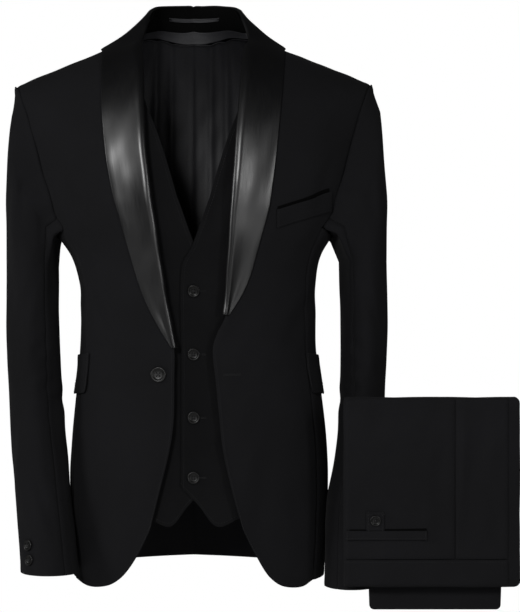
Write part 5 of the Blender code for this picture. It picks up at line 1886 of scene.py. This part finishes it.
# %% Leg ends
LEG_HEM_LEFT = 0.2200
LEG_HEM_WIDTH = 0.1640
LEG_HEM_DROP = 0.0305
LEG_THICK = 0.0080
LEG_TUCK = 0.0300
LEG_SPREAD = 0.10
LEG_CORNER = 0.006
LEG_EASE = 1.1
SECOND_LEG_STEP = 0.0016
LEG_SECTION = table(
    "share inset",
    (0.02, 0.00180),
    (0.08, 0.00070),
    (0.20, 0.00015),
    (0.36, 0.00000),
    (0.46, 0.00050),
    (0.50, 0.00140),
    (0.54, 0.00050),
    (0.64, 0.00000),
    (0.80, 0.00015),
    (0.92, 0.00070),
    (0.98, 0.00180),
)
leg_bottom = TROUSERS_BOTTOM - LEG_HEM_DROP
leg_length = TROUSERS_HEIGHT + LEG_HEM_DROP - LEG_TUCK
leg_middle = LEG_HEM_LEFT + LEG_HEM_WIDTH / 2
rings = []
for share, inset in zip(LEG_SECTION["share"], LEG_SECTION["inset"]):
    second = SECOND_LEG_STEP if share > 0.5 else 0.0
    outline = rounded_outline(
        LEG_HEM_LEFT + inset + second, LEG_HEM_LEFT + LEG_HEM_WIDTH - inset,
        leg_bottom + leg_length - inset, leg_bottom + inset + second, LEG_CORNER - inset,
    )
    spread = 1 + LEG_SPREAD * (outline[:, 1] - leg_bottom) / leg_length
    x = leg_middle + (outline[:, 0] - leg_middle) * spread
    y = np.full(len(outline), BACK_Y + GAP + LEG_THICK * share)
    rings.append(np.stack([x, y, outline[:, 1]], axis=-1))
folded_piece(
    "leg_ends", rings, ["trousers_lower_legs"],
    (LEG_HEM_WIDTH * LEG_EASE, leg_length * FOLD_EASE),
)

# %% [markdown]
# Two seat panels show in front, joined on the seam that runs down from the waist. The cloth
# is pressed hard over the folds, so each panel rolls back at its edges. The waistband is a
# firm strip, a little thicker than the panels.


# %% Seat panels and waistband
WAISTBAND_HEIGHT = 0.0350
WAISTBAND_THICK = 0.0018
WAISTBAND_PROUD = 0.0002
PANEL_INSET = 0.001
WAISTBAND_INSET = 0.002
TROUSER_SEAM = 0.1380
TROUSER_FRONT_END = 0.2050
SEAT_CROWN = 0.0015
TROUSER_CREASES = table(
    "x z turn long wide deep bend",
    (0.3315, -0.5200, 2, 0.190, 0.0060, -0.0016, 0.002),
    (0.3520, -0.5100, 4, 0.170, 0.0090, 0.0013, 0.003),
    (0.3080, -0.5600, 3, 0.150, 0.0080, 0.0009, -0.003),
    (0.2500, -0.5150, 84, 0.120, 0.0110, 0.0008, 0.004),
    (0.2250, -0.4800, 20, 0.070, 0.0090, 0.0007, 0.003),
    (0.2700, -0.5950, 92, 0.070, 0.0090, 0.0008, -0.003),
    (0.3700, -0.5900, -12, 0.100, 0.0090, 0.0010, 0.003),
)
FOLD_ROLL = 0.0042
FOLD_DEPTH = 0.0026


def strip(
    name, edges, front_y, thickness, crown=0.0, rolled=(), step=NARROW_STEP, seams=(0, 0, 0, 0),
):
    """A flat piece on the folded trousers. The named edges roll back over their folds."""
    left, right, top, bottom = edges
    share = spaced(right - left, step)
    x = left + (right - left) * share[None, :]
    z = bottom + (top - bottom) * spaced(top - bottom, step)[:, None]
    x, z = np.broadcast_arrays(x, z)
    y = front_y - crown * np.sin(math.pi * (x - left) / (right - left))
    distances = {"left": x - left, "right": right - x, "top": top - z, "bottom": z - bottom}
    for edge in rolled:
        y = y + FOLD_DEPTH * np.clip(1 - distances[edge] / FOLD_ROLL, 0, 1) ** 2
    face = np.stack([x, y, z], axis=-1)
    inside = face + np.array([0, thickness, 0])
    lift = creased(x, z, TROUSER_CREASES) + unevenness(x, z)
    return sheet(
        name, face, inside, worsted_wool,
        relief=lift, seams=seams,
    )


panel_y = BLOCK_Y - GAP - WOOL
left, top = TROUSERS_LEFT + PANEL_INSET, TROUSERS_TOP - PANEL_INSET
seam_x, end_x = TROUSERS_LEFT + TROUSER_SEAM, TROUSERS_LEFT + TROUSER_FRONT_END
band_top = TROUSERS_BOTTOM + WAISTBAND_HEIGHT
strip(
    "trousers_back_left", (left, seam_x - SEAM / 2, top, band_top + SEAM), panel_y, WOOL,
    SEAT_CROWN, ("left", "top"), seams=(SEAM, 0, 0, SEAM),
)
strip(
    "trousers_back_right", (seam_x + SEAM / 2, end_x, top, band_top + SEAM), panel_y, WOOL,
    SEAT_CROWN * 2 / 3, ("right", "top"), seams=(SEAM, 0, SEAM, 0),
)
strip(
    "trousers_waistband", (left, end_x, band_top - SEAM, TROUSERS_BOTTOM + WAISTBAND_INSET),
    panel_y - (WAISTBAND_THICK - WOOL) - WAISTBAND_PROUD, WAISTBAND_THICK, SEAT_CROWN,
    ("left", "right", "bottom"), seams=(0, SEAM, 0, 0),
)

# %% [markdown]
# The back pocket is one narrow welt below its mouth. A short tab with a button stands above
# it. The shadow in the mouth is painted: a thin near-black strip lies on the panel and runs in
# behind the welt.

# %% Back pocket
POCKET_MOUTH = -0.6139
POCKET_LEFT = 0.003
POCKET_WIDTH = 0.100
POCKET_WELT = 0.0110
TAB_LEFT = 0.028
TAB_WIDTH = 0.022
TAB_HEIGHT = 0.0235
TAB_CLEAR = 0.001
TAB_BUTTON_RISE = 0.013
TROUSER_SLIT_SHOWS = 0.0014
TROUSER_SLIT_HIDDEN = 0.0040
TROUSER_SLIT_SLANT = 0.0016
SLIT_COLUMNS, SLIT_ROWS = 50, 5
TAB_STEP = 0.002

over_y = panel_y - SEAT_CROWN - GAP - WOOL
welt_x, tab_x = TROUSERS_LEFT + POCKET_LEFT, TROUSERS_LEFT + TAB_LEFT
strip(
    "trousers_pocket_welt",
    (welt_x, welt_x + POCKET_WIDTH, POCKET_MOUTH, POCKET_MOUTH - POCKET_WELT),
    over_y, WOOL, step=FINE_STEP,
)
strip(
    "trousers_pocket_tab",
    (tab_x, tab_x + TAB_WIDTH, POCKET_MOUTH + TAB_HEIGHT, POCKET_MOUTH + TAB_CLEAR),
    over_y, WOOL, step=TAB_STEP,
)
slit_x, slit_rise = np.meshgrid(
    welt_x + POCKET_WIDTH * np.linspace(0.01, 0.99, SLIT_COLUMNS),
    np.linspace(-TROUSER_SLIT_HIDDEN, TROUSER_SLIT_SHOWS, SLIT_ROWS),
)
slit_z = POCKET_MOUTH + slit_rise + TROUSER_SLIT_SLANT * (slit_x - welt_x) / POCKET_WIDTH
slit_y = panel_y - SEAT_CROWN * np.sin(math.pi * (slit_x - left) / (seam_x - left))
slit_y = slit_y - creased(slit_x, slit_z, TROUSER_CREASES) - unevenness(slit_x, slit_z) - MOUTH_LIFT
slit_face = np.stack([slit_x, slit_y, slit_z], axis=-1)
# The trouser pocket's mouth strip is painted shadow.
trousers_shadow_strip = shell(
    "trousers_pocket_painted_shadow", slit_face, slit_face + np.array([0, MOUTH_THICK, 0]), pocket_shadow_paint,
)
register(trousers_shadow_strip, [])
declare(trousers_shadow_strip, cut_size(slit_face))

# %% [markdown]
# The buttons are turned from resin: a raised rim round a dish, with four holes drilled
# through. One lathe profile serves all of them, and the holes are cut with a Boolean, as a
# drill would.


# %% Button blanks
BUTTON_THICK = 0.0021
BUTTON_SECTION = table(
    "radius height",
    (0.00, 0.46),
    (0.30, 0.46),
    (0.50, 0.48),
    (0.60, 0.56),
    (0.70, 0.84),
    (0.79, 0.98),
    (0.87, 1.00),
    (0.95, 0.90),
    (1.00, 0.62),
    (0.99, 0.36),
    (0.90, 0.10),
    (0.70, 0.00),
    (0.00, 0.00),
)
BUTTON_SIDES = 48
HOLE_RADIUS = 0.085
HOLE_OUT = 0.21
HOLE_SIDES = 12
HOLES = 4
FIRST_HOLE = math.pi / 4
BUTTON_SHARP = math.radians(48)


def lathe(name, radius, thick, material):
    """A closed body turned round its own Z axis from the button's section."""
    solid = bmesh.new()
    rings = []
    for share, rise in zip(BUTTON_SECTION["radius"], BUTTON_SECTION["height"]):
        if share == 0:
            rings.append([solid.verts.new((0, 0, rise * thick))])
            continue
        turns, out = np.linspace(0, 2 * math.pi, BUTTON_SIDES, endpoint=False), radius * share
        rings.append([
            solid.verts.new((out * math.cos(turn), out * math.sin(turn), rise * thick))
            for turn in turns
        ])
    for low, high in zip(rings, rings[1:]):
        for k in range(BUTTON_SIDES):
            after = (k + 1) % BUTTON_SIDES
            a, b = low[k % len(low)], low[after % len(low)]
            c, d = high[after % len(high)], high[k % len(high)]
            solid.faces.new(dict.fromkeys((a, b, c, d)))
    bmesh.ops.recalc_face_normals(solid, faces=solid.faces)
    mesh = bpy.data.meshes.new(name)
    solid.to_mesh(mesh)
    solid.free()
    mesh.materials.append(material)
    return in_scene(name, mesh)


def baked(made):
    """Turns a piece's modifiers into its own plain mesh."""
    bpy.context.view_layer.update()
    finished = made.evaluated_get(bpy.context.evaluated_depsgraph_get())
    plain = bpy.data.meshes.new_from_object(finished)
    made.modifiers.clear()
    made.data = plain
    plain.shade_smooth()
    return plain


def drilled(made, radius, thick):
    """Cuts the four thread holes and leaves a plain mesh."""
    drills = bmesh.new()
    out = HOLE_OUT * radius * math.sqrt(2)
    for k in range(HOLES):
        turn = FIRST_HOLE + k * math.pi / 2
        place = Matrix.Translation((out * math.cos(turn), out * math.sin(turn), thick / 2))
        bmesh.ops.create_cone(
            drills, cap_ends=True, segments=HOLE_SIDES, radius1=HOLE_RADIUS * radius,
            radius2=HOLE_RADIUS * radius, depth=thick * 3, matrix=place,
        )
    mesh = bpy.data.meshes.new("drills")
    drills.to_mesh(mesh)
    drills.free()
    cutter = in_scene("drills", mesh)
    cut = made.modifiers.new("holes", "BOOLEAN")
    cut.operation, cut.solver, cut.object = "DIFFERENCE", "EXACT", cutter
    whole = baked(made)
    bpy.data.objects.remove(cutter)
    whole.set_sharp_from_angle(angle=BUTTON_SHARP)


print("points on a button's section:", len(BUTTON_SECTION["radius"]))

# %% [markdown]
# Each button is held by two crossed bundles of thread. On the real suit a button turns and
# tips a little on its threads. Here it stays as it is in the photo.


# %% Buttons
BUTTON_RADIUS = 0.0100
SMALL_BUTTON_RADIUS = 0.0080
CUFF_BUTTON_RADIUS = 0.0070
JACKET_BUTTON = (0.0440, -0.4215)
WAISTCOAT_BUTTON_HEIGHTS = (-0.318, -0.396, -0.475, -0.550)
CUFF_BUTTON_RISES = (0.018, 0.036)
CUFF_BUTTON_SPOT = {-1: 3, 1: 2}
STANDS_OFF = 2 * GAP
THREAD_RADIUS = 0.00030
THREAD_RISES = (0.00045, 0.00095)
THREAD_BESIDE = 0.00028
THREAD_SINK = 0.0009
THREAD_POINTS = 9
WAY_OUT = 0.01
SECTION_POINTS = 20
button_threads = []


def placed_on(centre, outward):
    """The place of a thing whose own Z axis points out of the cloth and whose Y points up."""
    outward = Vector(outward).normalized()
    across = Vector((0, 0, 1)).cross(outward).normalized()
    up = outward.cross(across)
    turned = Matrix((across, up, outward)).transposed().to_4x4()
    return Matrix.Translation(Vector(centre)) @ turned


def button(node_name, centre, outward, radius):
    """A drilled button on the cloth, and the paths of its threads."""
    made = lathe("resin_" + node_name, radius, BUTTON_THICK, polished_button)
    drilled(made, radius, BUTTON_THICK)
    place = placed_on(centre, outward)
    made.data.transform(place)
    register(made, [node_name])
    # The threads cross from hole to hole, the second bundle over the first.
    dish = BUTTON_THICK * float(BUTTON_SECTION["height"][0])
    reach = HOLE_OUT * radius * math.sqrt(2)
    shares = np.linspace(-1, 1, THREAD_POINTS)
    for k, rise in enumerate(THREAD_RISES):
        turn = FIRST_HOLE + k * math.pi / 2
        for beside in (-THREAD_BESIDE, THREAD_BESIDE):
            x = reach * shares * math.cos(turn) - beside * math.sin(turn)
            y = reach * shares * math.sin(turn) + beside * math.cos(turn)
            z = dish - THREAD_SINK + (rise + THREAD_SINK) * np.sqrt(np.maximum(1 - shares**2, 0))
            button_threads.append([place @ Vector(point) for point in zip(x, y, z)])
    return made


def on_body(side, out, height, lift):
    """A place on the body's form and the way out of the cloth there."""
    w = height - CHEST_Z
    q = float(q_of(side, out, w))
    base = torso(side, q, w, lift)
    outward = torso(side, q, w, lift + WAY_OUT) - base
    return base, outward / np.linalg.norm(outward)


base, outward = on_body(-1, JACKET_BUTTON[0], JACKET_BUTTON[1], 0.0)
button("front_button", base + outward * STANDS_OFF, outward, BUTTON_RADIUS)
PLACKET_LIFT = WAISTCOAT_LIFT + WAISTCOAT_OVERLAP - WAISTCOAT_SETBACK
for number, height in enumerate(WAISTCOAT_BUTTON_HEIGHTS):
    base, outward = on_body(1, 0.0, height, PLACKET_LIFT)
    name = f"waistcoat_button_{number + 1}"
    button(name, base + outward * STANDS_OFF, outward, SMALL_BUTTON_RADIUS)
for side, sizes in ((-1, RIGHT_SLEEVE), (1, LEFT_SLEEVE)):
    cuff, spot = float(sizes["height"][-1]), CUFF_BUTTON_SPOT[side]
    for number, rise in enumerate(CUFF_BUTTON_RISES):
        ring = sleeve_section(side, sizes, cuff + rise, SECTION_POINTS)
        above = sleeve_section(side, sizes, cuff + rise + WAY_OUT, SECTION_POINTS)
        outward = np.cross(ring[spot + 1] - ring[spot - 1], above[spot] - ring[spot])
        outward = outward / np.linalg.norm(outward)
        outward = outward * np.sign(np.dot(outward, ring[spot] - ring.mean(axis=0)))
        name = f"cuff_button_{side_key(side)}_{number + 1}"
        button(name, ring[spot] + outward * STANDS_OFF, outward, CUFF_BUTTON_RADIUS)
button(
    "trousers_button",
    (tab_x + TAB_WIDTH / 2, over_y - STANDS_OFF, POCKET_MOUTH + TAB_BUTTON_RISE),
    (0, -1, 0), CUFF_BUTTON_RADIUS,
)
print("buttons:", len([name for name in MADE if name.startswith("resin_")]))

# %% [markdown]
# Stitches are many copies of one small shape that follow a line, so Geometry Nodes makes
# them: the line is cut into even steps, a short thread is set on each, and a fixed seed
# makes their lengths differ a little, as hand-guided sewing does.


# %% Stitches
STITCH_LENGTHS = (0.86, 1.04)
STITCH_SEED = 7


def stitch_tree():
    """The node group that turns a line into a row of stitches."""
    tree = bpy.data.node_groups.new("stitch_row", "GeometryNodeTree")
    face = tree.interface
    face.new_socket("Geometry", in_out="INPUT", socket_type="NodeSocketGeometry")
    for name in ("Pitch", "Thread Length", "Thread Radius"):
        face.new_socket(name, in_out="INPUT", socket_type="NodeSocketFloat")
    face.new_socket("Material", in_out="INPUT", socket_type="NodeSocketMaterial")
    face.new_socket("Geometry", in_out="OUTPUT", socket_type="NodeSocketGeometry")
    given = node(tree, "NodeGroupInput").outputs
    line = node(tree, "GeometryNodeMeshToCurve", {"Mesh": given["Geometry"]})
    steps = node(
        tree, "GeometryNodeResampleCurve",
        {"Curve": line.outputs["Curve"], "Length": given["Pitch"]}, mode="LENGTH",
    )
    ball = node(tree, "GeometryNodeMeshUVSphere", {"Segments": 6, "Rings": 4, "Radius": 1.0})
    half = node(tree, "ShaderNodeMath", {0: given["Thread Length"], 1: 0.5}, operation="MULTIPLY")
    shape = node(
        tree, "ShaderNodeCombineXYZ",
        {"X": half.outputs[0], "Y": given["Thread Radius"], "Z": given["Thread Radius"]},
    )
    one = node(
        tree, "GeometryNodeTransform",
        {"Geometry": ball.outputs["Mesh"], "Scale": shape.outputs[0]},
    )
    way = node(
        tree, "GeometryNodeInputNamedAttribute", {"Name": "thread_way"}, data_type="FLOAT_VECTOR",
    )
    turn = node(
        tree, "FunctionNodeAlignRotationToVector", {"Vector": way.outputs["Attribute"]}, axis="X",
    )
    size = node(
        tree, "FunctionNodeRandomValue",
        {2: STITCH_LENGTHS[0], 3: STITCH_LENGTHS[1], "Seed": STITCH_SEED}, data_type="FLOAT",
    )
    rows = node(
        tree, "GeometryNodeInstanceOnPoints",
        {"Points": steps.outputs["Curve"], "Instance": one.outputs["Geometry"],
         "Rotation": turn.outputs["Rotation"], "Scale": size.outputs[1]},
    )
    real = node(tree, "GeometryNodeRealizeInstances", {"Geometry": rows.outputs["Instances"]})
    coated = node(
        tree, "GeometryNodeSetMaterial",
        {"Geometry": real.outputs["Geometry"], "Material": given["Material"]},
    )
    node(tree, "NodeGroupOutput", {"Geometry": coated.outputs["Geometry"]})
    return tree


STITCH_TREE = stitch_tree()


def sewn(name, lines, pitch, thread_length, thread_radius):
    """One object with all the stitches of some lines, each a pair of points and thread ways."""
    points, ways, edges = [], [], []
    for line, way in lines:
        edges.extend((len(points) + k, len(points) + k + 1) for k in range(len(line) - 1))
        points.extend(line.tolist())
        ways.append(way)
    mesh = bpy.data.meshes.new(name)
    mesh.from_pydata(points, edges, [])
    held_way = mesh.attributes.new("thread_way", "FLOAT_VECTOR", "POINT")
    held_way.data.foreach_set("vector", np.concatenate(ways).astype(np.float32).reshape(-1))
    made = in_scene(name, mesh)
    rows = made.modifiers.new("stitches", "NODES")
    rows.node_group = STITCH_TREE
    sizes = {
        "Pitch": pitch, "Thread Length": thread_length, "Thread Radius": thread_radius,
        "Material": thread,
    }
    for socket in STITCH_TREE.interface.items_tree:
        if socket.item_type == "SOCKET" and socket.in_out == "INPUT" and socket.name in sizes:
            rows[socket.identifier] = sizes[socket.name]
    print(f"{name}: {len(baked(made).polygons)} faces")
    return register(made, [])


print("stitch tree nodes:", len(STITCH_TREE.nodes))

# %% [markdown]
# Each point of a line carries the way its thread lies. Along the line that gives a running
# stitch near an edge, across it the close stitches round a buttonhole.


# %% Stitch lines
THREAD_LIFT = 0.0002
HOLE_EYE = 0.0014
HOLE_HALF = 0.0007
EYE_TURN = np.radians((35, 325))
EYE_POINTS = 14
SLIT_POINTS = 20
ABOVE_CLOTH = 0.001
SHORT_WAY = 0.0005


def edge_line(node_name, edge, inset, end=1.0, across=False):
    """A line on a finished panel, a set distance in from one of its edges."""
    face, outward = FACES[node_name]
    turned = {
        "left": (face, outward), "right": (face[:, ::-1], outward[:, ::-1]),
        "bottom": (face.swapaxes(0, 1), outward.swapaxes(0, 1)),
        "top": (face[::-1].swapaxes(0, 1), outward[::-1].swapaxes(0, 1)),
    }
    face, outward = turned[edge]
    run = run_along(face, 1)
    rows = [i for i in range(len(face)) if i / (len(face) - 1) <= end]
    line = np.array([[np.interp(inset, run[i], face[i, :, k]) for k in range(3)] for i in rows])
    away = np.array([[np.interp(inset, run[i], outward[i, :, k]) for k in range(3)] for i in rows])
    way = np.gradient(line, axis=0)
    return line + away * THREAD_LIFT, np.cross(away, way) if across else way


def buttonhole(piece, side, start, length, height, lift):
    """A loop of close stitches round a slit, with a round eye at its first end."""
    turn = np.linspace(EYE_TURN[0], EYE_TURN[1], EYE_POINTS)
    eye = np.stack([-np.cos(turn), np.sin(turn)], axis=-1) * -HOLE_EYE
    eye[:, 1] *= -1
    eye_way = eye / HOLE_EYE
    run = np.linspace(HOLE_EYE, length, SLIT_POINTS)
    upper = np.stack([run, np.full(SLIT_POINTS, HOLE_HALF)], axis=-1)
    lower = upper[::-1] * np.array([1, -1])
    loop = np.concatenate([upper[::-1], eye, lower[::-1]])
    above, below = np.tile((0, 1.0), (SLIT_POINTS, 1)), np.tile((0, -1.0), (SLIT_POINTS, 1))
    ways = np.concatenate([above, eye_way, below])

    def on_cloth(flat):
        near, outward = on_body(side, start + flat[0], height + flat[1], lift + ABOVE_CLOTH)
        spot = piece.closest_point_on_mesh(Vector(near))[1]
        return np.array(spot) + outward * THREAD_LIFT

    line = np.array([on_cloth(flat) for flat in loop])
    ahead = np.array([on_cloth(flat + way * SHORT_WAY) for flat, way in zip(loop, ways)])
    return line, ahead - line


print("a buttonhole's eye:", HOLE_EYE * 2, "m across")

# %% [markdown]
# The threads that hold the buttons are round, so each is a small tube along its path.


# %% Thread
THREAD_SIDES = 6
OFF_AXIS = (0.31, 0.52, 0.79)


def tubes(name, paths, radius, material, sides=THREAD_SIDES):
    """Round threads along short paths, closed at their ends, as one object."""
    turns = [2 * math.pi * k / sides for k in range(sides)]
    made = bmesh.new()
    for path in paths:
        points = np.array(path)
        along = unit(np.gradient(points, axis=0))
        first = unit(np.cross(along, OFF_AXIS))
        second = np.cross(along, first)
        rings = []
        for point, a, b in zip(points, first, second):
            rings.append([
                made.verts.new(point + radius * (a * math.cos(turn) + b * math.sin(turn)))
                for turn in turns
            ])
        for low, high in zip(rings, rings[1:]):
            for k in range(sides):
                after = (k + 1) % sides
                made.faces.new((low[k], low[after], high[after], high[k]))
        made.faces.new(rings[0][::-1])
        made.faces.new(rings[-1])
    bmesh.ops.recalc_face_normals(made, faces=made.faces)
    mesh = bpy.data.meshes.new(name)
    made.to_mesh(mesh)
    made.free()
    mesh.shade_smooth()
    mesh.materials.append(material)
    return register(in_scene(name, mesh), [])


print("sides of a thread:", THREAD_SIDES)

# %% [markdown]
# The edges of the waistcoat and of the jacket's fronts are picked by hand-like stitches a few
# millimetres in, which keep the pressed edge flat. Flaps, pocket welts, tab and waistband are
# topstitched, and the ends of the back pocket's welt and of the hanger loop are barred.

# %% Sewing
EDGE_STITCH = {"pitch": 0.0036, "thread_length": 0.0027, "thread_radius": 0.00022}
CLOSE_STITCH = {"pitch": 0.00072, "thread_length": 0.0017, "thread_radius": 0.00020}
PICK_INSET = 0.0045
TOP_INSET = 0.0022
BAR_INSET = 0.0016
FRONT_PICK_END = 0.36
WAISTCOAT_HOLE = (-0.0020, 0.0180)
JACKET_HOLE = (0.0390, 0.0200)

EDGES = ("left", "right", "bottom")

top_lines, bars = [], []
for key in ("right", "left"):
    for edge in ("left", "bottom"):
        top_lines.append(edge_line("waistcoat_front_" + key, edge, PICK_INSET))
    for edge, end in (("left", FRONT_PICK_END), ("bottom", 1.0)):
        top_lines.append(edge_line("jacket_front_" + key, edge, PICK_INSET, end=end))
    top_lines.extend(edge_line("hip_flap_" + key, edge, TOP_INSET) for edge in EDGES)
for name, edges in (
    ("chest_welt", EDGES), ("trousers_pocket_tab", ("left", "right", "top")),
    ("trousers_pocket_welt", ("bottom",)), ("trousers_waistband", ("top",)),
):
    top_lines.extend(edge_line(name, edge, TOP_INSET) for edge in edges)
for name in ("trousers_pocket_welt", "hanger_loop"):
    bars.extend(edge_line(name, edge, BAR_INSET, across=True) for edge in ("left", "right"))

laps_over = bpy.data.objects["waistcoat_front_left_cloth"]
for height in WAISTCOAT_BUTTON_HEIGHTS:
    bars.append(buttonhole(laps_over, 1, *WAISTCOAT_HOLE, height, PLACKET_LIFT))
jacket_piece = bpy.data.objects["jacket_front_left_cloth"]
bars.append(buttonhole(jacket_piece, 1, *JACKET_HOLE, JACKET_BUTTON[1], 0.0))
sewn("edge_stitches", top_lines, **EDGE_STITCH)
sewn("buttonhole_stitches", bars, **CLOSE_STITCH)
tubes("button_threads", button_threads, THREAD_RADIUS, thread)

# %% [markdown]
# The box of the imported solids and the box of this model are printed side by side, so that
# their sizes can be compared.

# %% Sizes and finish
new_low, new_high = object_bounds()
sizes = {
    "cad": [[float(value) for value in CAD_LOW], [float(value) for value in CAD_HIGH]],
    "scene": [[float(value) for value in new_low], [float(value) for value in new_high]],
}
print(sizes)
